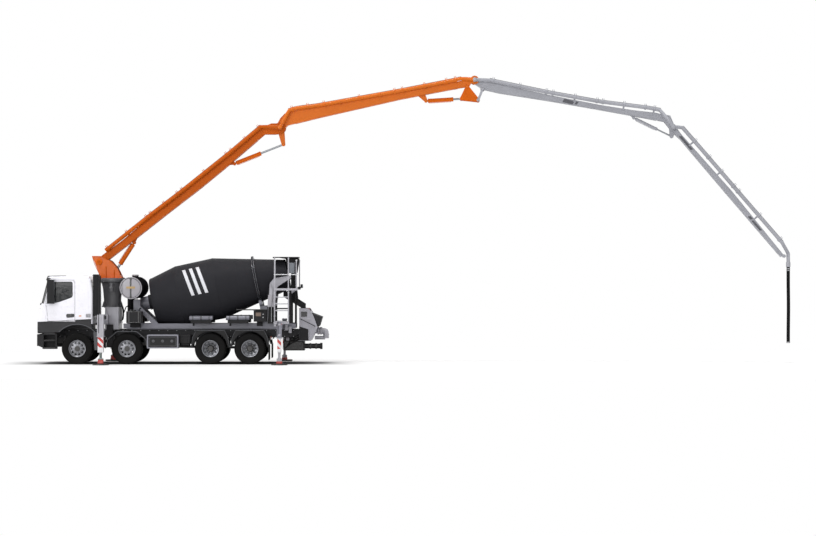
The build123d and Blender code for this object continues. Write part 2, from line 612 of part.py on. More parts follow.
def leg_housing(x, width, z):
    """Square tube that guides a jack, on the right-hand side."""
    half = width / 2
    inner = half - LEG_WALL
    outer = block((x - half, x + half), (OUTRIGGER_Y - half, OUTRIGGER_Y + half), z)
    hollow = block((x - inner, x + inner), (OUTRIGGER_Y - inner, OUTRIGGER_Y + inner), (z[0] - 10, z[1] - LEG_CAP))
    return outer - hollow


def jack(x, width, housing_top):
    """Sliding leg with its rod, foot and pad, on the right-hand side, its lift left free above it."""
    y = OUTRIGGER_Y
    top = housing_top - LEG_CAP - JACK_LIFT - MOVING_GAP
    half = width / 2 - LEG_WALL - SEAT_GAP
    return joined([block((x - half, x + half), (y - half, y + half), (430, top)),
                   tube((x, y, 200), (x, y, 440), 43),
                   block((x - 85, x + 85), (y - 85, y + 85), (45, 220)),
                   tube((x, y, 0), (x, y, 50), PAD_R)])


def make_outriggers():
    """Front arms that slide out, and the four jacks."""
    for side, sign in SIDES.items():
        beam = block((FRONT_LEG_X - ARM_HALF, FRONT_LEG_X + ARM_HALF),
                     (ARM_INNER_Y, OUTRIGGER_Y - FRONT_LEG_W / 2 + 5), ARM_Z[side])
        housing = leg_housing(FRONT_LEG_X, FRONT_LEG_W, FRONT_LEG_Z)
        keep(f"outrigger_arm_{side}", mirrored(beam + housing, sign))
        keep(f"front_jack_{side}", mirrored(jack(FRONT_LEG_X, FRONT_LEG_W, FRONT_LEG_Z[1]), sign))
        keep(f"rear_jack_{side}", mirrored(jack(REAR_LEG_X, REAR_LEG_W, REAR_LEG_Z[1]), sign))


def drum_solid(shrink, front_cut):
    """The drum's turned body, its radii smaller by shrink."""
    outline = [(s, r - shrink) for s, r in DRUM_PROFILE]
    outline[0] = (outline[0][0] + front_cut, outline[0][1])
    start, end = outline[0][0], outline[-1][0] + (10 if shrink else 0)
    outline[-1] = (end, outline[-1][1])
    face = Plane.XZ * Polygon(*(outline + [(end, 0), (start, 0)]), align=None)
    return revolve(face, axis=Axis.X)


def make_drum():
    """Hollow mixing drum with its roller ring and front boss."""
    shell = drum_solid(0, 0) - drum_solid(DRUM_WALL, DRUM_WALL)
    ring = revolve(Plane.XZ * Polygon((-30, 700), (30, 700), (30, RING_R), (-30, RING_R), align=None), axis=Axis.X)
    ring -= drum_solid(DRUM_WALL / 2, 0)
    boss = tube((DRUM_BOSS[0], 0, 0), (DRUM_PROFILE[0][0] + 5, 0, 0), DRUM_BOSS[1])
    body = joined([shell, ring, boss])
    keep("mixing_drum", drum_lie() * body)


def drum_lie():
    """Where the drum lies: its axis along X from the roller ring, tilted."""
    return Location((DRUM_RING[0], 0, DRUM_RING[1]), (0, -DRUM_TILT, 0))


def drum_point(s, r):
    """The (X, Z) of a point at s along the drum's axis and r above it."""
    cosine, sine = math.cos(math.radians(DRUM_TILT)), math.sin(math.radians(DRUM_TILT))
    return DRUM_RING[0] + s * cosine - r * sine, DRUM_RING[1] + s * sine + r * cosine


def make_subframe():
    """Subframe with the drum's front and rear stands and the rear jacks' guides."""
    beams = both_sides(block((SUBFRAME_X[0], 7440), SUBFRAME_Y, SUBFRAME_Z))
    members = [block((x, x + 100), (-SUBFRAME_Y[0] - 5, SUBFRAME_Y[0] + 5), (SUBFRAME_Z[0], 1285))
               for x in (1503, 2700, 4000, 5300, 6390, 7200)]
    ties = both_sides(block((1600, 7100), (RAIL_Y[0], SUBFRAME_Y[0] + 5), (RAIL_Z[1] - 0.0, SUBFRAME_Z[0] + 20)))
    gear_x, gear_z = drum_point(DRUM_BOSS[0] - SEAT_GAP, 0)
    bearing = joined([block((1850, 2080), (-SUBFRAME_Y[1], SUBFRAME_Y[1]), (1900, 2200)),
                      tube((drum_point(-4080, 0)[0], 0, drum_point(-4080, 0)[1]), (gear_x, 0, gear_z), 230),
                      block((1850, 2000), (-540, -450), (SUBFRAME_Z[1] - 20, 1960)),
                      block((1850, 2000), (450, 540), (SUBFRAME_Z[1] - 20, 1960))])
    braces = both_sides(side_plate([(1850, 2200), (2730, SUBFRAME_Z[1] - 20), (2500, SUBFRAME_Z[1] - 20),
                                    (1850, 2020)], (SUBFRAME_Y[1] - 50, SUBFRAME_Y[1])))
    posts = both_sides(joined([
        side_plate([(6260, SUBFRAME_Z[1] - 20), (6560, SUBFRAME_Z[1] - 20), (6560, 1850), (6400, 1990), (6200, 1990)],
                   (SUBFRAME_Y[0] + 10, SUBFRAME_Y[1] - 20))]))
    reach = RING_R + SEAT_GAP + ROLLER_R
    turn = math.radians(ROLLER_ANGLE)
    roller = tube((-45, reach * math.sin(turn), -reach * math.cos(turn)),
                  (45, reach * math.sin(turn), -reach * math.cos(turn)), ROLLER_R)
    rollers = both_sides(drum_lie() * roller)
    rear_guides = both_sides(joined([
        leg_housing(REAR_LEG_X, REAR_LEG_W, REAR_LEG_Z),
        block((REAR_LEG_X - 80, REAR_LEG_X + 80), (SUBFRAME_Y[0], OUTRIGGER_Y - 75), (1213, 1383))]))
    keep("subframe", joined(beams + members + ties + [bearing] + braces + posts + rollers + rear_guides))


def make_water_tank():
    """Round water tank lying across the truck in front of the drum."""
    centre = (1817, 2612)
    tank = cross_pin(centre, 373, (-1100, 1100))
    cap = tube((1817, 300, 2970), (1817, 300, 3030), 110)
    legs = both_sides(block((1640, 1760), (430, 520), (SUBFRAME_Z[1], 2300)))
    keep("water_tank", joined([tank, cap] + legs))


def make_rear():
    """Ladder and platform, charging hopper, and the pump with its receiving hopper."""
    bars = []
    for x in (6746, 7218):
        bars.append(tube((x, -1180, 1400), (x, -1180, 3638), 22))
    for z in (1460, 1840, 2070, 2300):
        bars.append(tube((6746, -1180, z), (7218, -1180, z), 16))
    bars += [block((6712, 7240), (-1240, -1130), (1383, 1440)),
             block((6730, 7515), (-1210, 1210), (2540, 2580)),
             block((6730, 6800), (-1210, -560), (1300, 1390)),
             block((6720, 6800), (-1210, -1140), (1300, 1400))]
    for x in (6760, 7490):
        for y in (-1190, 1190):
            bars.append(tube((x, y, 2570), (x, y, 3570), 20))
        bars.append(tube((x, -1190, 3570), (x, -700, 3570), 20))
        bars.append(tube((x, -1190, 3070), (x, -700, 3070), 20))
    bars += both_sides(block((7180, 7290), (480, 600), (SUBFRAME_Z[1], 2560)))
    bars += both_sides(side_plate(STAND_OUTLINE, STAND_Y))
    bars += both_sides(block((STAND_OUTLINE[0][0], STAND_OUTLINE[1][0]), (SUBFRAME_Y[1] - 15, STAND_Y[1]),
                             STAND_BEAM_Z))
    cut = block((6600, 7450), (-520, 520), (2500, 2700))
    keep("ladder_platform", joined(bars) - cut)

    levels = [(3677, 7095, 860, 1100), (3610, 7300, 440, 800), (3120, 7300, 300, 520)]
    tray = []
    for shrink in (0, 10):
        sections = [Plane(origin=(x, 0, z)) * Rectangle(length - 2 * shrink, width - 2 * shrink)
                    for z, x, length, width in levels]
        tray.append([loft([low, high]) for low, high in zip(sections, sections[1:])])
    funnel = joined(tray[0]) - tray[1]
    stand = both_sides(block((7400, 7440), (300, 400), (SUBFRAME_Z[1] + 10, 3600)))
    chute = side_plate([(7000, 2360), (7750, 1880), (7750, 1840), (7000, 2300)], (-300, 300))
    sides = both_sides(side_plate([(7000, 2520), (7750, 2040), (7750, 1840), (7000, 2300)], (290, 310)))
    base = block((7310, 7440), (-SUBFRAME_Y[0], SUBFRAME_Y[0]), (SUBFRAME_Z[0] + 20, 1400))
    keep("charge_hopper", joined([funnel, chute, base] + stand + sides))

    hopper = side_plate(HOPPER_OUTLINE, (-HOPPER_Y, HOPPER_Y))
    wall = HOPPER_WALL
    (x0, top), (x1, ridge), (x2, z2), (x3, z3), (x4, bottom), _ = HOPPER_OUTLINE
    room = [(x0 + wall, top + wall), (x1, ridge + wall), (x2 - wall, z2), (x3 - wall, z3),
            (x4 - wall / 2, bottom + wall), (x0 + wall, bottom + wall)]
    inside = side_plate(room, (-HOPPER_Y + wall, HOPPER_Y - wall))
    guard = side_plate(GUARD_OUTLINE, (-GUARD_Y, GUARD_Y)) - side_plate(GUARD_ROOM, (-GUARD_Y + wall, GUARD_Y - wall))
    guard -= inside
    path = FilletPolyline(*ELBOW_ROUTE, radius=ELBOW_BEND)
    elbow = sweep(Plane(origin=path @ 0, z_dir=path % 0) * Circle(ELBOW_R), path=path)
    collars = [tube((x - 30, 0, ELBOW_ROUTE[0][2]), (x + 30, 0, ELBOW_ROUTE[0][2]), ELBOW_R + 35)
               for x in ELBOW_COLLARS_X]
    elbow = joined([elbow, tube((8080, 0, 880), (8430, 0, 880), 60)] + collars)
    tail = block((7550, 7570), (-425, 425), (900, 1180))
    outlet_end, outlet_z = OUTLET
    rim_start = outlet_end - OUTLET_RIM_LENGTH
    hopper = hopper - inside + guard
    pump = joined([block((7010, 7730), (-330, 330), (445, 780)),
                   tube((7700, OUTLET_Y, outlet_z), (outlet_end, OUTLET_Y, outlet_z), OUTLET_R),
                   tube((rim_start, OUTLET_Y, outlet_z), (outlet_end, OUTLET_Y, outlet_z), OUTLET_RIM_R),
                   block((7100, 7200), (-300, 300), (760, 910)), block((7500, 7600), (-300, 300), (760, 800))])
    bore = tube((outlet_end - OUTLET_BORE_DEPTH, OUTLET_Y, outlet_z), (outlet_end + 10, OUTLET_Y, outlet_z),
                OUTLET_BORE_R)
    keep("pump_unit", joined([hopper, elbow, tail, pump]) - bore)


# ---- boom ---------------------------------------------------------------------------------------
def arm_box(arm):
    """The arm's hollow box with its round ends, along X from the root pin."""
    outline = list(arm.lower) + list(arm.upper)[::-1]
    half = arm.half_width
    body = side_plate(outline, (-half, half))
    inside = [(x, z + arm.wall) for x, z in arm.lower] + [(x, z - arm.wall) for x, z in arm.upper[::-1]]
    core = side_plate(inside, (-half + arm.wall, half - arm.wall))
    core -= block((-500, 450), (-half, half), (-600, 600))
    if arm.slot_from < arm.length - 1:
        core -= block((arm.slot_from, arm.length + 500), (-half, half), (-800, 800))
    body = body - core
    ends = [cross_pin((0, 0), arm.root_r, (-half, half)), cross_pin((arm.length, 0), arm.tip_r, (-half, half))]
    return joined([body] + ends)


def clevis(box, arm, child):
    """Opens the arm's end into two cheeks with a bore for the next arm's pin."""
    gap = child.half_width + MOVING_GAP
    box -= block((arm.slot_from, arm.length + 500), (-gap, gap), (-900, 900))
    return box - cross_pin((arm.length, 0), child.pin_r + PIN_PLAY, (-500, 500))


def arm_pin(arm, cheek_outside):
    """The arm's root pin, with a head outside each cheek that holds it."""
    near, far = cheek_outside + PIN_HEAD[0], cheek_outside + PIN_HEAD[1]
    return [cross_pin((0, 0), arm.pin_r, (-far, far))] + both_sides(cross_pin((0, 0), arm.pin_r + 25, (near, far)))


def ears(arm, pin, ram, away):
    """Two ears under the arm with the ram's root pin through them, spreading to the side away."""
    px, pz = pin
    low, high = ram.eye_half_width + 5, ram.eye_half_width + 25
    reach = ram.pin_r + 26
    edge = edge_height(arm.lower, px) + 15
    outline = [(px + away * reach, pz), (px + away * 4 * reach, edge + 10), (px - away * reach * 0.5, edge),
               (px - away * reach, pz)]
    plate = joined([side_plate(outline, (low, high)), cross_pin(pin, reach, (low, high))])
    return both_sides(plate) + [cross_pin(pin, ram.pin_r, (-high - 8, high + 8))]


def ordered(outline):
    """The outline's points in order round their middle."""
    cx = sum(x for x, z in outline) / len(outline)
    cz = sum(z for x, z in outline) / len(outline)
    return sorted(outline, key=lambda p: math.atan2(p[1] - cz, p[0] - cx))


def arm_pipe(arm, side_y):
    """Concrete pipe beside the arm, with its clamps."""
    points = [(x, side_y, z) for x, z in arm.pipe]
    run = bent_pipe(points, PIPE_R)
    clamps = []
    for index in range(len(points) - 1):
        (xa, ya, za), (xb, yb, zb) = points[index], points[index + 1]
        count = max(1, int((xb - xa) / 1300))
        for step in range(count):
            t = (step + 0.5) / count
            x, z = xa + (xb - xa) * t, za + (zb - za) * t
            drop = max(z - edge_height(arm.upper, x) + 60, 30)
            slope = math.degrees(math.atan2(zb - za, xb - xa))
            ends = (-CLAMP_HALF, side_y, 0), (CLAMP_HALF, side_y, 0)
            collar = tube(*ends, PIPE_R + CLAMP_WALL) - tube(*ends, PIPE_R - PIPE_WALL / 2)
            bracket = block((-CLAMP_HALF, CLAMP_HALF), (side_y + CLAMP_INSET, -arm.half_width - SEAT_GAP), (-drop, 8))
            clamps.append(Location((x, 0, z), (0, -slope, 0)) * (collar + bracket))
    return [run] + clamps


def bent_pipe(points, radius):
    """Pipe along the points, its corners bent to the pipe's bend radius."""
    path = FilletPolyline(*points, radius=BEND_R)
    section = Circle(radius) - Circle(radius - PIPE_WALL)
    return sweep(Plane(origin=path @ 0, z_dir=path % 0) * section, path=path)


def pipe_side(arm):
    """Y of the pipe's centre beside the arm."""
    return -arm.half_width - PIPE_R - PIPE_GAP


def edge_height(line, x):
    """Height of a polyline at x."""
    for (xa, za), (xb, zb) in zip(line, line[1:]):
        if xa <= x <= xb:
            return za + (zb - za) * (x - xa) / (xb - xa)
    return line[-1][1]


def make_boom():
    """The four arms with their pins, ears and pipes."""
    outside = 250
    for index, arm in enumerate(ARMS):
        at = ROOTS[index]
        box = arm_box(arm)
        if index + 1 < len(ARMS):
            box = clevis(box, arm, ARMS[index + 1])
        parts = [box] + arm_pin(arm, outside)
        pipe = arm_pipe(arm, pipe_side(arm))
        outside = arm.half_width
        lie = (at, arm.elevation)
        if index == 0:
            parts += ears(arm, local(RAMS[0].root, *lie), RAMS[0], 1)
            parts += ears(arm, local(RAMS[1].root, *lie), RAMS[1], -1)
        if index == 1:
            parts += lever((0, -60), local(RAMS[1].eye, *lie), 58, 25)
            parts += ears(arm, local(RAMS[2].root, *lie), RAMS[2], -1)
            parts += both_sides(cross_pin(local(ROCKER_PIVOT, *lie), 40, (arm.half_width - 30, LINK_Y + 8)))
        if index == 2:
            reach = LINK_Y + LINK_PLATE + 8
            parts += [cross_pin(local(BOOM_3_LINK_PIN, *lie), BOOM_3_LINK_R, (-reach, reach)),
                      cross_pin(local(BOOM_3_LINK_PIN, *lie), 75, (-120, 120))]
            parts += ears(arm, local(RAMS[3].root, *lie), RAMS[3], -1)
        if index == 3:
            parts += lever((0, 0), local(RAMS[3].eye, *lie), 42, 20)
            pipe = tip_fittings(arm) + pipe[1:]
        shape = built_up(parts)
        if index == 0:
            shape -= block((6950, 7798 - 200), (-ARMS[1].half_width - MOVING_GAP, ARMS[1].half_width + MOVING_GAP), (-900, 900))
        if index == 1:
            shape -= block((-400, 500), (-54, 54), (-900, -171))
        lie_here = lying(at, arm.elevation)
        keep(arm.name, Compound([lie_here * shape, lie_here * built_up(pipe)]))


def lever(root, pin, half_gap, thick):
    """Two plates from the arm's root boss down to the ram's eye."""
    direction = math.atan2(pin[1] - root[1], pin[0] - root[0])
    nx, nz = -math.sin(direction), math.cos(direction)
    wide, narrow = 120, 62
    outline = [(root[0] + nx * wide, root[1] + nz * wide), (root[0] - nx * wide, root[1] - nz * wide),
               (pin[0] - nx * narrow, pin[1] - nz * narrow), (pin[0] + nx * narrow, pin[1] + nz * narrow)]
    plate = joined([side_plate(outline, (half_gap, half_gap + thick)),
                    cross_pin(pin, narrow, (half_gap, half_gap + thick)),
                    cross_pin(pin, 40, (half_gap, half_gap + thick + 15))])
    return both_sides(plate)


def tip_fittings(arm):
    """Elbow and hose coupling at the boom's tip, drawn in the arm's own frame."""
    here = (ROOTS[3], arm.elevation)
    side = pipe_side(arm)
    last = arm.pipe[-1]
    crown = local((HOSE_X, 3800), *here)
    low = local((HOSE_X, HOSE_Z[1]), *here)
    collar = local((HOSE_X, 3500), *here)
    route = [(x, side, z) for x, z in arm.pipe[:-1]] + [(last[0], side, last[1]), (crown[0], 0, crown[1]),
                                                        (low[0], 0, low[1])]
    return [bent_pipe(route, PIPE_R),
            tube((collar[0], 0, collar[1]), (low[0], 0, low[1]), PIPE_R + COUPLING_WALL)]


def make_rams():
    """Barrel and rod of each boom cylinder, each drawn along X from the barrel's root pin."""
    for ram in RAMS:
        dx, dz = ram.eye[0] - ram.root[0], ram.eye[1] - ram.root[1]
        length = math.hypot(dx, dz)
        lie = lying(ram.root, math.degrees(math.atan2(dz, dx)))
        bore = ram.barrel_r - 12
        neck = 40
        barrel = joined([tube((ram.pin_r + 38, 0, 0), (ram.barrel_length, 0, 0), ram.barrel_r),
                         cross_pin((0, 0), ram.pin_r + 22, (-ram.eye_half_width + 5, ram.eye_half_width - 5)),
                         block((0, ram.pin_r + 50), (-ram.eye_half_width + 5, ram.eye_half_width - 5), (-ram.pin_r, ram.pin_r))])
        barrel -= [cross_pin((0, 0), ram.pin_r + PIN_PLAY, (-200, 200)),
                   tube((ram.pin_r + 55, 0, 0), (ram.barrel_length - neck, 0, 0), bore),
                   tube((100, 0, 0), (ram.barrel_length + 10, 0, 0), ram.rod_r + 0.5)]
        keep(f"{ram.name}_barrel", lie * barrel)
        rod = joined([tube((ram.piston_at, 0, 0), (length - 30, 0, 0), ram.rod_r),
                      tube((ram.piston_at, 0, 0), (ram.piston_at + 30, 0, 0), bore - 1),
                      cross_pin((length, 0), ram.rod_r + 15, (-ram.eye_half_width, ram.eye_half_width))])
        keep(f"{ram.name}_rod", lie * rod)


def make_linkage():
    """Rocker and link that carry the third arm's fold."""
    inside = ROCKER_Y
    thick = LINK_PLATE
    eye = RAMS[2].eye
    corners = [ROCKER_PIVOT, eye, ROCKER_LINK_PIN]
    plates = joined([side_plate(ordered(corners), (inside, inside + thick))]
                    + [cross_pin(c, 62, (inside, inside + thick)) for c in corners]
                    + bars_between(corners, 55, (inside, inside + thick)))
    plates -= cross_pin(ROCKER_PIVOT, 40 + PIN_PLAY, (0, 400))
    plates += cross_pin(eye, 34, (RAMS[2].eye_half_width + 6, inside + thick))
    keep("rocker", Compound(both_sides(plates)))
    bar_y = (LINK_Y, LINK_Y + thick)
    pins = (ROCKER_LINK_PIN, BOOM_3_LINK_PIN)
    bar = joined(bars_between(list(pins), 40, bar_y) + [cross_pin(pin, 55, bar_y) for pin in pins]
                 + [cross_pin(ROCKER_LINK_PIN, 34, (bar_y[0], bar_y[1] + 8))])
    bar -= cross_pin(BOOM_3_LINK_PIN, BOOM_3_LINK_R + PIN_PLAY, (0, 400))
    keep("link", Compound(both_sides(bar)))


def bars_between(points, half, y):
    """Flat bars along the sides of the chain of points."""
    bars = []
    for (xa, za), (xb, zb) in zip(points, points[1:] + points[:1]):
        length = math.hypot(xb - xa, zb - za)
        nx, nz = -(zb - za) / length * half, (xb - xa) / length * half
        bars.append(side_plate([(xa + nx, za + nz), (xb + nx, zb + nz), (xb - nx, zb - nz), (xa - nx, za - nz)], y))
    return bars[:1] if len(points) == 2 else bars


def make_turret():
    """Slewing turret: slab, two cheeks and the lift ram's ears."""
    slab = tube((SLEW_X, 0, SLEW_Z[0]), (SLEW_X, 0, SLEW_Z[1]), SLEW_R)
    outline = [(381, 3712), (659, 3712), (1041, 3539), (1249, 3296), (1422, 2930), (694, 2930)]
    gap = ARMS[0].half_width + MOVING_GAP
    cheeks = both_sides(side_plate(outline, (gap, gap + 40)))
    back = block((1330, 1370), (-gap - 5, gap + 5), (2930, 3040))
    front = block((690, 730), (-gap - 5, gap + 5), (2930, 3060))
    seat = both_sides(side_plate([(960, 2930), (1300, 2930), (1175, 3160), (1080, 3160)], (58, 83)))
    caps = both_sides(cross_pin(RAMS[0].eye, 55, (58, 95)))
    hole = cross_pin(BOOM_ROOT, ARMS[0].pin_r + PIN_PLAY, (-400, 400))
    keep("turret", joined([slab] + cheeks + [back, front] + seat + caps) - hole)


def make_hose():
    """End hose that hangs from the boom's tip."""
    keep("end_hose", tube((HOSE_X, 0, HOSE_Z[0]), (HOSE_X, 0, HOSE_Z[1]), HOSE_R))


# ---- everything ---------------------------------------------------------------------------------
for make in (make_wheels, make_axles, make_frame, make_bumper, make_mudguards, make_side_gear, make_cab,
             make_column, make_outriggers, make_drum, make_subframe, make_water_tank, make_rear,
             make_turret, make_boom, make_rams, make_linkage, make_hose):
    make()

os.makedirs("parts", exist_ok=True)
for name, shape in NODES.items():
    export_step(Location((-ORIGIN_X, 0, 0)) * shape, f"parts/{name}.step")
    print(f"{name:24s} solids {len(shape.solids()):2d} volume {shape.volume / 1e9:.5f} m3")
print(len(NODES), "nodes")
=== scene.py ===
"""Looks for a truck-mounted concrete mixer and pump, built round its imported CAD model.

Shapes are worked out in millimetres in the drawing frame (X rearwards from the first axle, Y to the
right-hand side, Z up from the ground) and moved to the model's frame in metres as they become meshes.
"""
import json
import logging
import math
from dataclasses import dataclass, field
from enum import Enum
from typing import Iterable, Sequence

import bmesh
import bpy
import numpy as np
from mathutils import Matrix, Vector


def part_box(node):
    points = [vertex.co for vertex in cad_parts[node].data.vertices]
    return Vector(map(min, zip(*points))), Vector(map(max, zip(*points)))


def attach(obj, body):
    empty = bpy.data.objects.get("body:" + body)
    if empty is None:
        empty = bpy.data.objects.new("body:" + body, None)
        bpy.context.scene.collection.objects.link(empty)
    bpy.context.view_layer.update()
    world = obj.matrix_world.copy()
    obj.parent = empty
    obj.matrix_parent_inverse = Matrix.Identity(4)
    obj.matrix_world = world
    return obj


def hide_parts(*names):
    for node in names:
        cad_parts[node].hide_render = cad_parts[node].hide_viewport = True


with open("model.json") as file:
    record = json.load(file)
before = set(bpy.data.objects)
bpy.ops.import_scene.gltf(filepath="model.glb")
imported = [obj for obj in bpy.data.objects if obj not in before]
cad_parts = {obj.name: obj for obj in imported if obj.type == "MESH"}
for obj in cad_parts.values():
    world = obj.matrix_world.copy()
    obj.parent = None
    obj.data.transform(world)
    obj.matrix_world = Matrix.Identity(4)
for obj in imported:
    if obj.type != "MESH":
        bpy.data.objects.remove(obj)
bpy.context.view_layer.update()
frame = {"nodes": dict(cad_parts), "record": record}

LOG = logging.getLogger("mixer_pump")
Pair = tuple[float, float]
Point = tuple[float, float, float]
Rgba = tuple[float, float, float, float]
Tint = Rgba | bpy.types.NodeSocket
SIDES = {"left": -1, "right": 1}
ORIGIN, ALONG, ASIDE, UP = (0, 0, 0), (1, 0, 0), (0, 1, 0), (0, 0, 1)
AXLES = (0.0, 1700.0, 4550.0, 5900.0)
TYRE_R = 538.0


# ---- frame of reference -------------------------------------------------------------------------
def drawing_origin() -> float:
    """X of the model's origin in the drawing frame, in mm, from the first axle's tyre."""
    low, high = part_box("tyre_1_left")
    return -1000.0 * (low.x + high.x) / 2


ORIGIN_X = drawing_origin()


def to_row(points: np.ndarray) -> np.ndarray:
    """Moves points from the drawing frame in mm to the model's frame in metres.

    Args:
        points: array of X, Y, Z in millimetres.

    Returns:
        The same points in metres, with X measured from the model's origin.
    """
    return (np.asarray(points, float) - (ORIGIN_X, 0.0, 0.0)) * 0.001


# ---- finishes -----------------------------------------------------------------------------------
def linear(code: str) -> Rgba:
    """Turns an sRGB hex value into a linear colour.

    Args:
        code: a hash sign and six hex digits.

    Returns:
        Four numbers from 0 to 1, as a colour socket takes them.
    """
    parts = np.array([int(code[i:i + 2], 16) for i in (1, 3, 5)]) / 255
    curved = np.where(parts <= 0.04045, parts / 12.92, ((parts + 0.055) / 1.055) ** 2.4)
    return (*curved.tolist(), 1.0)


def empty_tree(owner: bpy.types.Material | bpy.types.World) -> bpy.types.NodeTree:
    """Turns on the nodes of a material or world and empties its tree.

    Args:
        owner: a new material or world.

    Returns:
        Its node tree, without nodes.
    """
    owner.use_nodes = True
    owner.node_tree.nodes.clear()
    return owner.node_tree


def add_node(tree: bpy.types.NodeTree, kind: str, inputs: dict | None = None,
             **settings: object) -> bpy.types.Node:
    """Adds a node, sets its properties and fills or links its inputs.

    Args:
        tree: the node tree.
        kind: the node's type name.
        inputs: input name or index to a value, to an output socket, or to a node for its first output.
        **settings: properties of the node itself.

    Returns:
        The new node.
    """
    node = tree.nodes.new(kind)
    for key, value in settings.items():
        setattr(node, key, value)
    for key, value in (inputs or {}).items():
        if isinstance(value, bpy.types.Node):
            value = value.outputs[0]
        if isinstance(value, bpy.types.NodeSocket):
            tree.links.new(value, node.inputs[key])
        else:
            node.inputs[key].default_value = value
    return node


class Surface(Enum):
    """How a surface was made, which decides its node pattern."""
    PAINT = "paint"
    PLASTIC = "plastic"
    RUBBER = "rubber"
    METAL = "metal"
    CASTING = "casting"
    CLOTH = "cloth"


@dataclass(frozen=True)
class Finish:
    """One real material: its slot in the record, colours, gloss and the size of its texture in mm."""
    name: str
    slot: str
    surface: Surface
    colour: str
    roughness: float
    metallic: float = 0.0
    coat: float = 0.0
    specular: float = 0.5
    shift: float = 0.12
    patch_mm: float = 700.0
    grain_mm: float = 12.0
    grain_depth_mm: float = 0.15
    dust: float = 0.25
    dust_top: float = 1.2
    dust_colour: str = "#8a857d"

    def build(self) -> bpy.types.Material:
        """Makes the Blender material: soft tone patches, road dust low down, grain in the bump.

        Returns:
            The material, its node tree complete.
        """
        material = bpy.data.materials.new(self.name)
        tree = empty_tree(material)
        place = add_node(tree, "ShaderNodeTexCoord").outputs["Object"]
        patches = add_node(tree, "ShaderNodeTexNoise",
                           {"Vector": place, "Scale": 1000.0 / self.patch_mm, "Detail": 5.0,
                            "Roughness": 0.6})
        tone = add_node(tree, "ShaderNodeMapRange",
                        {"Value": patches, "From Min": 0.3, "From Max": 0.7, "To Min": 1.0 - self.shift,
                         "To Max": 1.0 + self.shift * 0.6})
        toned = add_node(tree, "ShaderNodeHueSaturation", {"Color": self.tint(tree, place), "Value": tone})
        height = add_node(tree, "ShaderNodeSeparateXYZ", {"Vector": place}).outputs["Z"]
        low = add_node(tree, "ShaderNodeMapRange",
                       {"Value": height, "From Max": self.dust_top, "To Min": self.dust,
                        "To Max": self.dust * 0.12})
        blotch = add_node(tree, "ShaderNodeTexNoise",
                          {"Vector": place, "Scale": 6.0, "Detail": 8.0, "Roughness": 0.7})
        amount = add_node(tree, "ShaderNodeMath", {0: low, 1: blotch}, operation="MULTIPLY")
        dusty = add_node(tree, "ShaderNodeMix", {"Factor": amount, 6: toned, 7: linear(self.dust_colour)},
                         data_type="RGBA")
        worn = add_node(tree, "ShaderNodeMapRange",
                        {"Value": blotch, "From Min": 0.3, "From Max": 0.8,
                         "To Min": max(self.roughness - 0.06, 0.04),
                         "To Max": min(self.roughness + 0.12, 1.0)})
        bump = add_node(tree, "ShaderNodeBump", {"Height": self.grain(tree, place), "Strength": 0.6,
                                                 "Distance": self.grain_depth_mm * 0.001})
        shader = add_node(tree, "ShaderNodeBsdfPrincipled",
                          {"Base Color": dusty.outputs[2], "Roughness": worn, "Metallic": self.metallic,
                           "Normal": bump, "Coat Weight": self.coat, "Coat Roughness": 0.08,
                           "Specular IOR Level": self.specular})
        add_node(tree, "ShaderNodeOutputMaterial", {"Surface": shader})
        return material

    def tint(self, tree: bpy.types.NodeTree, place: bpy.types.NodeSocket) -> Tint:
        """The finish's colour, the same all over."""
        return linear(self.colour)

    def grain(self, tree: bpy.types.NodeTree, place: bpy.types.NodeSocket) -> bpy.types.NodeSocket:
        """The height pattern that suits how the surface was made.

        Args:
            tree: the material's node tree.
            place: object coordinates in metres.

        Returns:
            The socket with the height.
        """
        scale = 1000.0 / self.grain_mm
        if self.surface in (Surface.PLASTIC, Surface.CASTING):
            return add_node(tree, "ShaderNodeTexVoronoi",
                            {"Vector": place, "Scale": scale}).outputs["Distance"]
        if self.surface is Surface.CLOTH:
            warp, weft = (add_node(tree, "ShaderNodeTexWave",
                                   {"Vector": place, "Scale": scale / 3.0, "Distortion": 0.4},
                                   bands_direction=way).outputs["Fac"] for way in "YZ")
            return add_node(tree, "ShaderNodeMath", {0: warp, 1: weft}, operation="ADD").outputs["Value"]
        return add_node(tree, "ShaderNodeTexNoise",
                        {"Vector": place, "Scale": scale, "Detail": 4.0, "Roughness": 0.55}).outputs["Fac"]


@dataclass(frozen=True)
class Glazing:
    """Tinted laminated safety glass: a dark, clear sheet that mirrors the sky."""
    name: str
    slot: str
    colour: str
    alpha: float

    def build(self) -> bpy.types.Material:
        """Makes the Blender material, with faint rain marks in its gloss.

        Returns:
            The material, its node tree complete.
        """
        material = bpy.data.materials.new(self.name)
        tree = empty_tree(material)
        place = add_node(tree, "ShaderNodeTexCoord").outputs["Object"]
        marks = add_node(tree, "ShaderNodeTexNoise", {"Vector": place, "Scale": 9.0, "Detail": 6.0})
        gloss = add_node(tree, "ShaderNodeMapRange",
                         {"Value": marks, "From Min": 0.4, "From Max": 0.75, "To Min": 0.03, "To Max": 0.12})
        shader = add_node(tree, "ShaderNodeBsdfPrincipled",
                          {"Base Color": linear(self.colour), "Roughness": gloss, "Alpha": self.alpha,
                           "IOR": 1.52, "Specular IOR Level": 0.5})
        add_node(tree, "ShaderNodeOutputMaterial", {"Surface": shader})
        return material


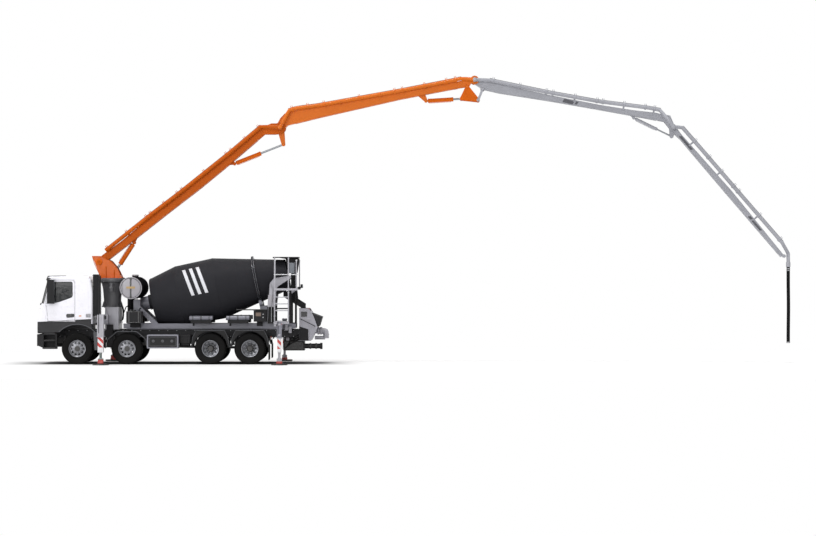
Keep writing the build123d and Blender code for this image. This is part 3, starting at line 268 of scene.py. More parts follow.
@dataclass(frozen=True)
class Banded(Finish):
    """A finish whose colour changes at set heights, as where a primed foot meets a painted leg."""
    bands: tuple[tuple[float, str], ...] = ()
    stripes: tuple[float, float, str, str] | None = None
    pitch: float = 0.24

    def tint(self, tree: bpy.types.NodeTree, place: bpy.types.NodeSocket) -> Tint:
        """Colour by height: each band starts at its height in metres; stripes lean by 45 degrees.

        Args:
            tree: the material's node tree.
            place: object coordinates in metres.

        Returns:
            The socket with the colour.
        """
        axes = add_node(tree, "ShaderNodeSeparateXYZ", {"Vector": place})
        here = linear(self.colour)
        for start, colour in self.bands:
            above = add_node(tree, "ShaderNodeMath", {0: axes.outputs["Z"], 1: start},
                             operation="GREATER_THAN")
            here = add_node(tree, "ShaderNodeMix", {"Factor": above, 6: here, 7: linear(colour)},
                            data_type="RGBA").outputs[2]
        if self.stripes:
            low, high, first, second = self.stripes
            across = add_node(tree, "ShaderNodeMath", {0: axes.outputs["X"], 1: axes.outputs["Y"]},
                              operation="ADD")
            lean = add_node(tree, "ShaderNodeMath", {0: across, 1: axes.outputs["Z"]}, operation="ADD")
            turns = add_node(tree, "ShaderNodeMath", {0: lean, 1: 1.0 / self.pitch}, operation="MULTIPLY")
            share = add_node(tree, "ShaderNodeMath", {0: turns}, operation="FRACT")
            side = add_node(tree, "ShaderNodeMath", {0: share, 1: 0.5}, operation="GREATER_THAN")
            stripe = add_node(tree, "ShaderNodeMix", {"Factor": side, 6: linear(first), 7: linear(second)},
                              data_type="RGBA")
            over = add_node(tree, "ShaderNodeMath", {0: axes.outputs["Z"], 1: low}, operation="GREATER_THAN")
            under = add_node(tree, "ShaderNodeMath", {0: axes.outputs["Z"], 1: high}, operation="LESS_THAN")
            inside = add_node(tree, "ShaderNodeMath", {0: over, 1: under}, operation="MULTIPLY")
            here = add_node(tree, "ShaderNodeMix", {"Factor": inside, 6: here, 7: stripe.outputs[2]},
                            data_type="RGBA").outputs[2]
        return here


# Two-pack enamel on pressed steel: smooth, with a faint orange peel that is drawn 12 mm wide.
CAB_WHITE = Finish("cab_white_enamel", "cab_white", Surface.PAINT, "#e6e5ec", 0.28, coat=0.5, shift=0.03,
                   dust=0.08)
BOOM_ORANGE = Finish("boom_orange_enamel", "boom_orange", Surface.PAINT, "#cb5c03", 0.42, specular=0.12,
                     shift=0.08, dust=0.0)
# Lit and shaded copies of the boom orange: the darker one is painted shade on boom_1, its fittings and the
# turret's ribs; the lighter one is a painted highlight on boom_2.
BOOM_PAINTED_SHADE = Finish("boom_orange_enamel_painted_shade", "boom_orange", Surface.PAINT, "#ba5508", 0.46,
                    specular=0.12, shift=0.10, dust=0.0)
BOOM_PAINTED_LIGHT = Finish("boom_orange_enamel_painted_highlight", "boom_orange", Surface.PAINT, "#cf6814", 0.40, coat=0.05,
                    specular=0.2, shift=0.08, dust=0.0)
BOOM_GREY = Finish("boom_grey_enamel", "boom_grey", Surface.PAINT, "#94959c", 0.36, coat=0.35, shift=0.10,
                   dust=0.02)
# The conduit's dark brown on boom_1 and boom_2 is painted shade along the top edge of the concrete pipe.
CONDUIT_PAINTED_SHADE = Finish("conduit_brown_painted_shade", "boom_orange", Surface.PAINT, "#7b4018", 0.5, specular=0.3,
                    shift=0.14, patch_mm=350.0, dust=0.0)
MARK_DARK = Finish("blank_dark_panel", "boom_grey", Surface.PAINT, "#4c4c52", 0.5, shift=0.10, patch_mm=200.0,
                   dust=0.0)
DRUM_BLACK = Finish("drum_black_enamel", "drum_black", Surface.PAINT, "#222226", 0.6, specular=0.12,
                    shift=0.08, dust=0.03)
HOPPER_BLACK = Finish("hopper_black_enamel", "drum_black", Surface.PAINT, "#161618", 0.5, specular=0.15,
                      shift=0.14, dust=0.06)
BAR_PALE = Finish("drum_bar_pale_enamel", "drum_black", Surface.PAINT, "#c9cacf", 0.4, shift=0.05, dust=0.0)
RING_STEEL = Finish("roller_ring_steel", "drum_black", Surface.METAL, "#8f9095", 0.38, metallic=0.7,
                    shift=0.14, patch_mm=120.0, dust=0.0)
SUBFRAME_GREY = Finish("subframe_blue_grey_enamel", "subframe_grey", Surface.PAINT, "#74747e", 0.42,
                       coat=0.15, dust=0.22)
LIGHT_GREY = Finish("light_grey_enamel", "light_grey", Surface.PAINT, "#a2a1a8", 0.40, coat=0.2, dust=0.2)
TANK_MATT = Finish("tank_matt_black_enamel", "light_grey", Surface.PAINT, "#1a1a1c", 0.95, specular=0.0,
                   shift=0.05, dust=0.0)
TANK_GREY = Finish("tank_grey_enamel", "light_grey", Surface.PAINT, "#98959b", 0.40, coat=0.2, dust=0.1)
PANEL_GREY = Finish("panel_cool_grey_enamel", "light_grey", Surface.PAINT, "#777c84", 0.42, coat=0.1,
                    dust=0.1)
PANEL_BROWN = Finish("blank_brown_panel", "light_grey", Surface.PAINT, "#6b5a50", 0.5, shift=0.06, dust=0.05)
BRASS_PLATE = Finish("blank_brassy_plate", "light_grey", Surface.METAL, "#a58a5a", 0.45, metallic=0.3,
                     shift=0.05, dust=0.0)
PALE_PLATE = Finish("blank_pale_plate", "light_grey", Surface.PAINT, "#c4c5c9", 0.45, shift=0.03, dust=0.05)
CHASSIS_GREY = Finish("chassis_primer_grey", "chassis_grey", Surface.PAINT, "#232326", 0.55, specular=0.2,
                      dust=0.15)
COLUMN_DARK = Finish("column_charcoal_enamel", "light_grey", Surface.PAINT, "#5c5c5f", 0.45, coat=0.1,
                     dust=0.05)
FOOT_RED = Finish("foot_red_enamel", "light_grey", Surface.PAINT, "#b5261f", 0.45, shift=0.16, patch_mm=160.0,
                  dust=0.3)
LIP_GREY = Finish("moulded_mid_grey_lip", "dark_plastic", Surface.PLASTIC, "#4b4c50", 0.6, specular=0.35,
                  grain_mm=10.0, grain_depth_mm=0.3, dust=0.2)
GLOSS_BLACK = Finish("gloss_black_panel", "dark_plastic", Surface.PAINT, "#141416", 0.22, coat=0.3,
                     shift=0.05, dust=0.02)
SEAL_BLACK = Finish("weather_seal_rubber", "dark_plastic", Surface.RUBBER, "#151516", 0.7, specular=0.3,
                    grain_mm=6.0, dust=0.0)
SPLASH_BLACK = Finish("splash_sheet_rubber", "dark_plastic", Surface.RUBBER, "#222224", 0.75, specular=0.3,
                      grain_mm=9.0, grain_depth_mm=0.5, dust=0.12)
# Steel wheels sprayed silver; the flakes are far below what shows, so only the tone is drawn.
RIM_SILVER = Finish("wheel_silver_lacquer", "rim_steel", Surface.METAL, "#7b7c81", 0.32, metallic=0.85,
                    shift=0.2, dust=0.12)
HUB_DARK = Finish("hub_dark_casting", "iron", Surface.CASTING, "#2c2c2e", 0.55, grain_mm=6.0,
                  grain_depth_mm=0.4, dust=0.35)
ZINC = Finish("zinc_plated_steel", "rim_steel", Surface.METAL, "#9a9b9e", 0.40, metallic=0.8, shift=0.16,
              patch_mm=90.0, dust=0.12)
ALUMINIUM = Finish("mill_aluminium", "light_grey", Surface.METAL, "#b9babd", 0.42, metallic=0.6, shift=0.10,
                   patch_mm=140.0, dust=0.08)
# Moulded polypropylene with a leather grain of 2 mm, drawn 10 mm wide.
DARK_PLASTIC = Finish("moulded_dark_polypropylene", "dark_plastic", Surface.PLASTIC, "#1e1e20", 0.62,
                      specular=0.2, grain_mm=10.0, grain_depth_mm=0.4, dust=0.10)
INTERIOR = Finish("cab_trim_plastic", "interior", Surface.PLASTIC, "#2c2c2e", 0.7, specular=0.35,
                  grain_mm=8.0, dust=0.12)
# Plain woven seat cloth, its yarns drawn 4 mm apart.
SEAT_CLOTH = Finish("seat_cloth", "interior", Surface.CLOTH, "#3a3b42", 0.9, specular=0.2, grain_mm=4.0,
                    grain_depth_mm=0.8, dust=0.0)
# Vulcanised tread rubber: dull black, greyed by road dust.
TYRE_RUBBER = Finish("tyre_rubber", "tyre", Surface.RUBBER, "#0a0a0b", 0.85, specular=0.12, grain_mm=6.0,
                     grain_depth_mm=0.3, dust=0.05, dust_top=1.4)
HOSE_RUBBER = Finish("hose_rubber", "hose_rubber", Surface.RUBBER, "#131314", 0.9, specular=0.1, grain_mm=8.0,
                     dust=0.05)
# Sand-cast iron under thin black paint.
IRON = Finish("painted_cast_iron", "iron", Surface.CASTING, "#2c2c2e", 0.6, grain_mm=7.0, grain_depth_mm=0.5,
              dust=0.35)
IRON_DARK = Finish("pump_black_casting", "iron", Surface.CASTING, "#232325", 0.5, grain_mm=7.0,
                   grain_depth_mm=0.4, dust=0.15)
# Ground and hard-chromed cylinder rod.
CHROME = Finish("hard_chromed_rod", "chrome", Surface.METAL, "#8d9094", 0.30, metallic=1.0, shift=0.02,
                grain_mm=20.0, grain_depth_mm=0.02, dust=0.0)
LAMP_CLEAR = Finish("lamp_clear_lens", "glass", Surface.PAINT, "#c9ced4", 0.12, coat=0.6, shift=0.04,
                    patch_mm=40.0, grain_mm=14.0, dust=0.03)
LAMP_AMBER = Finish("lamp_amber_lens", "glass", Surface.PAINT, "#d07a12", 0.18, coat=0.6, shift=0.05,
                    patch_mm=40.0, grain_mm=10.0, dust=0.05)
LAMP_RED = Finish("lamp_red_lens", "glass", Surface.PAINT, "#a01512", 0.18, coat=0.6, shift=0.05,
                  patch_mm=40.0, grain_mm=10.0, dust=0.05)
MIRROR_GLASS = Finish("silvered_mirror", "glass", Surface.METAL, "#c9ced2", 0.05, metallic=1.0, shift=0.01,
                      grain_mm=80.0, grain_depth_mm=0.01, dust=0.0)
SCREEN_GLASS = Glazing("tinted_screen_glass", "glass", "#0d1013", 0.86)
# Jack legs: rubber pad, red foot, chromed rod as pale paint, warning stripes, then grey enamel.
FRONT_JACK = Banded("front_jack_leg", "light_grey", Surface.PAINT, "#1c1c1d", 0.45, shift=0.08, dust=0.2,
                    bands=((0.0505, "#b5261f"), (0.19, "#5d6b66"), (0.43, "#d9d9dc"), (0.94, "#a2a1a8")),
                    stripes=(0.60, 0.94, "#b5261f", "#d9d9dc"))
REAR_JACK = Banded("rear_jack_leg", "light_grey", Surface.PAINT, "#1c1c1d", 0.45, shift=0.08, dust=0.2,
                   bands=((0.0505, "#b5261f"), (0.10, "#a2a1a8"), (0.43, "#d9d9dc"), (0.905, "#a2a1a8")),
                   stripes=(0.55, 0.905, "#b5261f", "#d9d9dc"))
COLUMN_PAINT = Banded("column_and_base_enamel", "light_grey", Surface.PAINT, "#a2a1a8", 0.40, coat=0.2,
                      dust=0.2, bands=((1.944, "#5c5c5f"),))
TURRET_PAINT = Banded("turret_enamel", "boom_orange", Surface.PAINT, "#3b3b3d", 0.42, coat=0.1, specular=0.3,
                      shift=0.08, dust=0.0, bands=((2.9485, "#cb5c03"),))
PUMP_PAINT = Banded("pump_hopper_enamel", "light_grey", Surface.PAINT, "#1a1a1c", 0.5, specular=0.2,
                    dust=0.08, bands=((0.787, "#96959c"),))

Coat = Finish | Glazing
FINISHES: dict[str, Coat] = {finish.slot: finish for finish in (CAB_WHITE, BOOM_ORANGE, BOOM_GREY, DRUM_BLACK,
                                                                SUBFRAME_GREY, LIGHT_GREY, CHASSIS_GREY,
                                                                RIM_SILVER, DARK_PLASTIC, INTERIOR,
                                                                TYRE_RUBBER, HOSE_RUBBER, IRON, CHROME,
                                                                SCREEN_GLASS)}
# boom_1 and boom_2 take the boom orange with painted shade and the one with a painted highlight.
NODE_FINISHES: dict[str, Coat] = {"front_jack_left": FRONT_JACK, "front_jack_right": FRONT_JACK,
                                  "rear_jack_left": REAR_JACK, "rear_jack_right": REAR_JACK,
                                  "slewing_column": COLUMN_PAINT, "turret": TURRET_PAINT,
                                  "boom_1": BOOM_PAINTED_SHADE, "boom_2": BOOM_PAINTED_LIGHT, "charge_hopper": HOPPER_BLACK,
                                  "water_tank": TANK_MATT, "pump_unit": PUMP_PAINT,}


@dataclass
class Paintshop:
    """Builds each finish once and hands out its material."""
    made: dict[str, bpy.types.Material] = field(default_factory=dict)

    def material(self, finish: Coat) -> bpy.types.Material:
        """The material of a finish, built the first time it is asked for.

        Args:
            finish: the finish that is asked for.

        Returns:
            The material, the same one each time.
        """
        if finish.name not in self.made:
            self.made[finish.name] = finish.build()
        return self.made[finish.name]

    def dress_cad(self) -> None:
        """Gives every CAD node the finish of its material slot."""
        for row in frame["record"]["subparts"]:
            node = frame["nodes"][row["node"]]
            node.data.materials.clear()
            finish = NODE_FINISHES.get(row["node"], FINISHES[row["material_slot"]])
            node.data.materials.append(self.material(finish))
            node.data.shade_smooth()
            node.data.set_sharp_from_angle(angle=math.radians(35))


# ---- shapes -------------------------------------------------------------------------------------
@dataclass
class Shape:
    """Points in millimetres in the drawing frame, and the faces between them."""
    points: np.ndarray
    faces: list[tuple[int, ...]]

    def shifted(self, by: Sequence[float]) -> "Shape":
        """The shape moved by an offset in millimetres."""
        return Shape(self.points + np.asarray(by, float), self.faces)

    def mirrored(self) -> "Shape":
        """The shape's mirror image across the middle plane, turned right side out again."""
        return Shape(self.points * (1.0, -1.0, 1.0), [face[::-1] for face in self.faces])

    def on_side(self, sign: int) -> "Shape":
        """The shape as drawn on the right-hand side, or its mirror image on the left."""
        return self if sign > 0 else self.mirrored()

    def turned(self, angle: float, axis: int, about: Sequence[float] = (0.0, 0.0, 0.0)) -> "Shape":
        """The shape turned about an axis line.

        Args:
            angle: turn in degrees, counter-clockwise seen against the axis.
            axis: 0, 1 or 2 for a line along X, Y or Z.
            about: a point on the line.

        Returns:
            The turned shape: the two coordinates across the axis are mixed by cosine and sine.
        """
        first, second = [(1, 2), (2, 0), (0, 1)][axis]
        cosine, sine = math.cos(math.radians(angle)), math.sin(math.radians(angle))
        centred = self.points - np.asarray(about, float)
        out = centred.copy()
        out[:, first] = cosine * centred[:, first] - sine * centred[:, second]
        out[:, second] = sine * centred[:, first] + cosine * centred[:, second]
        return Shape(out + np.asarray(about, float), self.faces)


Shapes = Shape | Iterable[Shape]


def merge(shapes: Shapes) -> Shape:
    """Puts shapes into one, each face counting from its own shape's first point.

    Args:
        shapes: one shape or several.

    Returns:
        One shape, its faces renumbered.
    """
    shapes = [shapes] if isinstance(shapes, Shape) else list(shapes)
    starts = np.cumsum([0] + [len(shape.points) for shape in shapes[:-1]])
    faces = [tuple(index + int(start) for index in face)
             for shape, start in zip(shapes, starts) for face in shape.faces]
    return Shape(np.concatenate([shape.points for shape in shapes]), faces)


def both(shapes: Shapes) -> Shape:
    """The shapes together with their mirror image across the middle plane."""
    shape = merge(shapes)
    return merge([shape, shape.mirrored()])


def spread(shape: Shape, offsets: Iterable[Sequence[float]]) -> Shape:
    """Copies of the shape, one at each offset."""
    return merge([shape.shifted(offset) for offset in offsets])


def ring_of(shape: Shape, count: int, axis: int, about: Sequence[float], start: float = 0.0) -> Shape:
    """Copies of the shape at equal turns about an axis line."""
    return merge([shape.turned(start + 360.0 * index / count, axis, about) for index in range(count)])


def grid(points: np.ndarray, wrap_u: bool = False, wrap_v: bool = False) -> Shape:
    """Quads between the rows and columns of a grid of points P(u, v).

    Args:
        points: array of rows by columns by three.
        wrap_u: whether the last row joins the first.
        wrap_v: whether the last column joins the first.

    Returns:
        The surface: each quad joins a point with its neighbours along u, v and both.
    """
    rows, columns = points.shape[:2]
    index = np.arange(rows * columns).reshape(rows, columns)
    if wrap_u:
        index = np.vstack([index, index[:1]])
    if wrap_v:
        index = np.hstack([index, index[:, :1]])
    quads = np.stack([index[:-1, :-1], index[1:, :-1], index[1:, 1:], index[:-1, 1:]], axis=-1)
    return Shape(points.reshape(-1, 3), [tuple(quad) for quad in quads.reshape(-1, 4).tolist()])


def lathe(profile: Sequence[Pair], origin: Sequence[float], axis: Sequence[float], steps: int = 40,
          ring: bool = False) -> Shape:
    """Turns a profile about an axis: P(u, v) = origin + along(u) axis + radius(u) (cos v, sin v).

    Args:
        profile: pairs of distance along the axis and radius, in mm.
        origin: the point where the distance is 0.
        axis: direction of the axis.
        steps: number of facets round the axis.
        ring: whether the profile closes on itself, as a washer's does.

    Returns:
        The surface of revolution.
    """
    along, radius = np.asarray(profile, float).T
    line = np.asarray(axis, float) / np.linalg.norm(axis)
    helper = np.array((0.0, 0.0, 1.0)) if abs(line[2]) < 0.9 else np.array((1.0, 0.0, 0.0))
    side = np.cross(line, helper)
    side /= np.linalg.norm(side)
    up = np.cross(line, side)
    turn = np.arange(steps) * 2.0 * math.pi / steps
    round_it = np.cos(turn)[:, None] * side + np.sin(turn)[:, None] * up
    points = np.asarray(origin, float) + along[:, None, None] * line + radius[:, None, None] * round_it
    return grid(points, wrap_u=ring, wrap_v=True)


def disc(at: Sequence[float], axis: Sequence[float], radius: float, thick: float, edge: float = 3.0,
         steps: int = 40) -> Shape:
    """A turned disc or cap with a rounded rim, its back face at the point given."""
    return lathe([(0, 0), (0, radius), (thick - edge, radius), (thick - edge * 0.3, radius - edge * 0.3),
                  (thick, radius - edge), (thick, 0)], at, axis, steps)


def corner(before: np.ndarray, here: np.ndarray, after: np.ndarray, radius: float, most: float,
           steps: int) -> np.ndarray:
    """Rounds corner C with (1-t)^2 A + 2 t (1-t) C + t^2 B, between A and B on its two runs.

    Args:
        before: the point before the corner.
        here: the corner.
        after: the point after it.
        radius: how far from the corner A and B lie, at most.
        most: the share of a run that the curve may take.
        steps: points along the curve.

    Returns:
        The points of the curve.
    """
    share = np.linspace(0.0, 1.0, steps)[:, None]
    back, ahead = before - here, after - here
    reach = min(radius, most * np.linalg.norm(back), most * np.linalg.norm(ahead))
    start = here + back / np.linalg.norm(back) * reach
    end = here + ahead / np.linalg.norm(ahead) * reach
    return (1 - share) ** 2 * start + 2 * share * (1 - share) * here + share ** 2 * end


def bent(points: Sequence[Point], radius: float, steps: int = 6) -> np.ndarray:
    """Rounds the corners of a path with quadratic curves that leave and meet its runs.

    Args:
        points: the path's corners in mm.
        radius: how far from a corner its curve begins, where the runs allow it.
        steps: points along each curve.

    Returns:
        The path with a curve at each corner.
    """
    corners = np.asarray(points, float)
    pieces = [corners[:1]]
    for before, here, after in zip(corners, corners[1:], corners[2:]):
        pieces.append(corner(before, here, after, radius, 0.48, steps))
    return np.concatenate(pieces + [corners[-1:]])


def sweep(path: np.ndarray, section: np.ndarray, loop: bool = False) -> Shape:
    """Carries a section along a path: P(u, v) = path(u) + section(v).x side(u) + section(v).y up(u).

    Args:
        path: points of the path in mm.
        section: pairs across the path, in order round it.
        loop: whether the path closes on itself.

    Returns:
        The tube, its ends closed unless it is a loop.
    """
    path = np.asarray(path, float)
    tangent = (np.roll(path, -1, 0) - np.roll(path, 1, 0)) if loop else np.gradient(path, axis=0)
    tangent /= np.linalg.norm(tangent, axis=1)[:, None]
    spans = np.ptp(path, axis=0)
    helper = np.eye(3)[int(np.argmin(spans))]
    side = np.cross(tangent, helper)
    side /= np.linalg.norm(side, axis=1)[:, None]
    up = np.cross(side, tangent)
    points = path[:, None] + section[None, :, :1] * side[:, None] + section[None, :, 1:] * up[:, None]
    shape = grid(points, wrap_u=loop, wrap_v=True)
    if not loop:
        count = len(section)
        shape.faces += [tuple(range(count))[::-1], tuple(range(len(shape.points) - count, len(shape.points)))]
    return shape


def circle(radius: float, sides: int = 12) -> np.ndarray:
    """A round section for sweep."""
    turn = np.arange(sides) * 2.0 * math.pi / sides
    return np.stack([np.cos(turn), np.sin(turn)], axis=1) * radius


def oblong(half_x: float, half_y: float) -> np.ndarray:
    """A rectangular section for sweep."""
    return np.array(rectangle((half_x, -half_x), (half_y, -half_y)), float)


def tube(points: Sequence[Point], radius: float, bend: float = 0.0, sides: int = 12) -> Shape:
    """A round bar or pipe along a path, its corners rounded where bend is given."""
    path = bent(points, bend) if bend else np.asarray(points, float)
    return sweep(path, circle(radius, sides))


def plate(outline: Sequence[Pair], between: Pair, axis: int = 1) -> Shape:
    """A flat plate: an outline carried straight from one side to the other.

    Args:
        outline: corner pairs in the two coordinates across the axis, in the order X, Y, Z.
        between: the plate's two sides along the axis.
        axis: 0, 1 or 2 for a plate across X, Y or Z.

    Returns:
        The closed plate.
    """
    flat = np.asarray(outline, float)
    others = [index for index in range(3) if index != axis]
    points = np.zeros((2, len(flat), 3))
    points[:, :, others] = flat
    points[:, :, axis] = np.asarray(between, float)[:, None]
    shape = grid(points, wrap_v=True)
    count = len(flat)
    shape.faces += [tuple(range(count))[::-1], tuple(range(count, 2 * count))]
    return shape


def rectangle(across: Pair, up: Pair) -> list[Pair]:
    """The four corners of a rectangle, from its spans in the two coordinates of its plane."""
    return [(across[0], up[0]), (across[1], up[0]), (across[1], up[1]), (across[0], up[1])]


def slab(x: Pair, y: Pair, z: Pair) -> Shape:
    """A straight-sided bar or panel; its edges are rounded when it becomes a piece."""
    return plate(rectangle(x, z), y)


def rounded_outline(outline: Sequence[Pair], radius: float, steps: int = 6) -> list[Pair]:
    """An outline with its corners rounded by quadratic curves.

    Args:
        outline: the corners in order.
        radius: how far from a corner its curve starts, at most.
        steps: points on each corner.

    Returns:
        The points of the rounded outline.
    """
    flat = np.asarray(outline, float)
    pieces = []
    for before, here, after in zip(np.roll(flat, 1, 0), flat, np.roll(flat, -1, 0)):
        pieces.append(corner(before, here, after, radius, 0.45, steps))
    return np.concatenate(pieces).tolist()


def ring_plate(outer: Sequence[Pair], inner: Sequence[Pair], between: Pair, axis: int = 1) -> Shape:
    """A flat frame between two outlines with as many points each, thick along an axis.

    Args:
        outer: outside outline, in the two coordinates across the axis.
        inner: inside outline, point for point beside the outer one.
        between: the two levels along the axis.
        axis: 0, 1 or 2 for X, Y or Z.

    Returns:
        The closed frame.
    """
    others = [index for index in range(3) if index != axis]
    rows = []
    for outline, level in ((outer, between[0]), (inner, between[0]), (inner, between[1]),
                           (outer, between[1])):
        points = np.zeros((len(outline), 3))
        points[:, others] = np.asarray(outline, float)
        points[:, axis] = level
        rows.append(points)
    return grid(np.stack(rows), wrap_u=True, wrap_v=True)


def inset(outline: Sequence[Pair], by: float) -> list[Pair]:
    """The outline moved inwards by a distance, each corner along the mean of its two edges' normals.

    Args:
        outline: the corners in order.
        by: distance in mm, negative for outwards.

    Returns:
        The corners of the moved outline.
    """
    flat = np.asarray(outline, float)
    ahead = np.roll(flat, -1, 0) - flat
    ahead /= np.linalg.norm(ahead, axis=1)[:, None]
    back = np.roll(ahead, 1, 0)
    area = np.sum(flat[:, 0] * np.roll(flat[:, 1], -1) - np.roll(flat[:, 0], -1) * flat[:, 1])
    turn = 1.0 if area > 0 else -1.0
    normal = np.stack([-ahead[:, 1], ahead[:, 0]], 1) * turn
    before = np.stack([-back[:, 1], back[:, 0]], 1) * turn
    mean = normal + before
    mean /= np.sum(mean * normal, axis=1)[:, None]
    return (flat + mean * by).tolist()


def border(outline: Sequence[Pair], width: float, radii: Pair, between: Pair, axis: int = 1) -> Shape:
    """A flat frame of even width inside an outline, its outer and inner corners rounded.

    Args:
        outline: the corners in order.
        width: the same all round.
        radii: of the outer and of the inner corners.
        between: the two levels along the axis.
        axis: 0, 1 or 2 for X, Y or Z.

    Returns:
        The closed frame.
    """
    return ring_plate(rounded_outline(outline, radii[0]), rounded_outline(inset(outline, width), radii[1]),
                      between, axis)


def pillow(x: Pair, y: Pair, z: Pair, square: float = 0.35, rows: int = 16, columns: int = 32) -> Shape:
    """A soft-cornered body: a superellipsoid, whose sine and cosine are raised to a small power.

    Args:
        x: its two ends along X.
        y: its two ends along Y.
        z: its two ends along Z.
        square: 1 for an ellipsoid, near 0 for a box.
        rows: facets from pole to pole.
        columns: facets round it.

    Returns:
        The closed body.
    """
    def power(value: np.ndarray) -> np.ndarray:
        """Value raised to the small power, its sign kept."""
        return np.sign(value) * np.abs(value) ** square

    height = np.linspace(-math.pi / 2, math.pi / 2, rows + 1)[:, None]
    turn = np.arange(columns)[None] * 2.0 * math.pi / columns
    unit = np.stack([power(np.cos(height)) * power(np.cos(turn)), power(np.cos(height)) * power(np.sin(turn)),
                     power(np.sin(height)) + 0.0 * turn], axis=-1)
    low, high = np.array([x[0], y[0], z[0]], float), np.array([x[1], y[1], z[1]], float)
    return grid((low + high) / 2 + unit * (high - low) / 2, wrap_v=True)


def strip(path: Sequence[Pair], thick: float, y: Pair) -> Shape:
    """A flat sheet that follows a path in X and Z, as wide as the two Y values are apart."""
    line = np.array([(x, (y[0] + y[1]) / 2, z) for x, z in path], float)
    return sweep(line, oblong(thick / 2, abs(y[1] - y[0]) / 2))


@dataclass(frozen=True)
class Lie:
    """Where a thing drawn along X lies: its root in X and Z and the angle that it rises at."""
    root: Pair
    rise: float

    def place(self, shapes: Shapes) -> Shape:
        """Puts shapes drawn at the origin where they lie."""
        return merge(shapes).turned(-self.rise, 1).shifted((self.root[0], 0, self.root[1]))


@dataclass
class Maker:
    """Turns shapes into finished pieces that ride on their bodies."""
    paint: Paintshop
    made: int = 0

    def piece(self, name: str, shapes: Shapes, finish: Coat, body: str, slot: str = "", bevel: float = 0.0,
              segments: int = 2, smooth: float = 35.0, replaces: Sequence[str] = ()) -> bpy.types.Object:
        """Makes one object from shapes, rounds its edges and hangs it on its body.

        Args:
            name: the piece's name.
            shapes: what it is made of, in mm in the drawing frame.
            finish: its material.
            body: the CAD body that it rides on.
            slot: the record's material slot, where it isn't the finish's own; not used.
            bevel: width of its rounded edges in mm, or 0.
            segments: facets across a rounded edge.
            smooth: edges flatter than this many degrees are shaded smooth.
            replaces: CAD nodes that it stands for.

        Returns:
            The finished object, at the origin.
        """
        shape = merge(shapes)
        mesh = bpy.data.meshes.new(name)
        mesh.from_pydata(to_row(shape.points).tolist(), [], shape.faces)
        work = bmesh.new()
        work.from_mesh(mesh)
        bmesh.ops.remove_doubles(work, verts=work.verts, dist=0.00002)
        bmesh.ops.dissolve_degenerate(work, edges=work.edges, dist=0.00001)
        bmesh.ops.recalc_face_normals(work, faces=work.faces)
        work.to_mesh(mesh)
        work.free()
        mesh.materials.append(self.paint.material(finish))
        mesh.shade_smooth()
        mesh.set_sharp_from_angle(angle=math.radians(smooth))
        item = bpy.data.objects.new(name, mesh)
        bpy.context.scene.collection.objects.link(item)
        if bevel:
            edge = item.modifiers.new("rounded_edges", "BEVEL")
            edge.width = bevel * 0.001
            edge.segments = segments
            edge.limit_method = "ANGLE"
            edge.angle_limit = math.radians(40.0)
            edge.use_clamp_overlap = True
        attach(item, body)
        if replaces:
            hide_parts(*replaces)
        self.made += 1
        LOG.info("%s: %d points on %s", name, len(mesh.vertices), body)
        return item


@dataclass
class Assembly:
    """What every sub-assembly has: the maker of its pieces and the body that most of them ride on."""
    maker: Maker
    body: str = "chassis"

    def put(self, name: str, shapes: Shapes, finish: Coat, body: str = "", side: str = "",
            **form: object) -> bpy.types.Object:
        """Makes one piece of the assembly.

        Args:
            name: the piece's name, without its side.
            shapes: what it is made of, drawn on the right-hand side where it has a side.
            finish: its material.
            body: the CAD body that it rides on, where it isn't the assembly's own.
            side: left or right, for a piece that is made once on each side.
            **form: the maker's slot, bevel, segments, smooth and replaces.

        Returns:
            The finished object.
        """
        shape = merge(shapes)
        if side:
            name, shape = f"{name}_{side}", shape.on_side(SIDES[side])
        return self.maker.piece(name, shape, finish, body or self.body, **form)


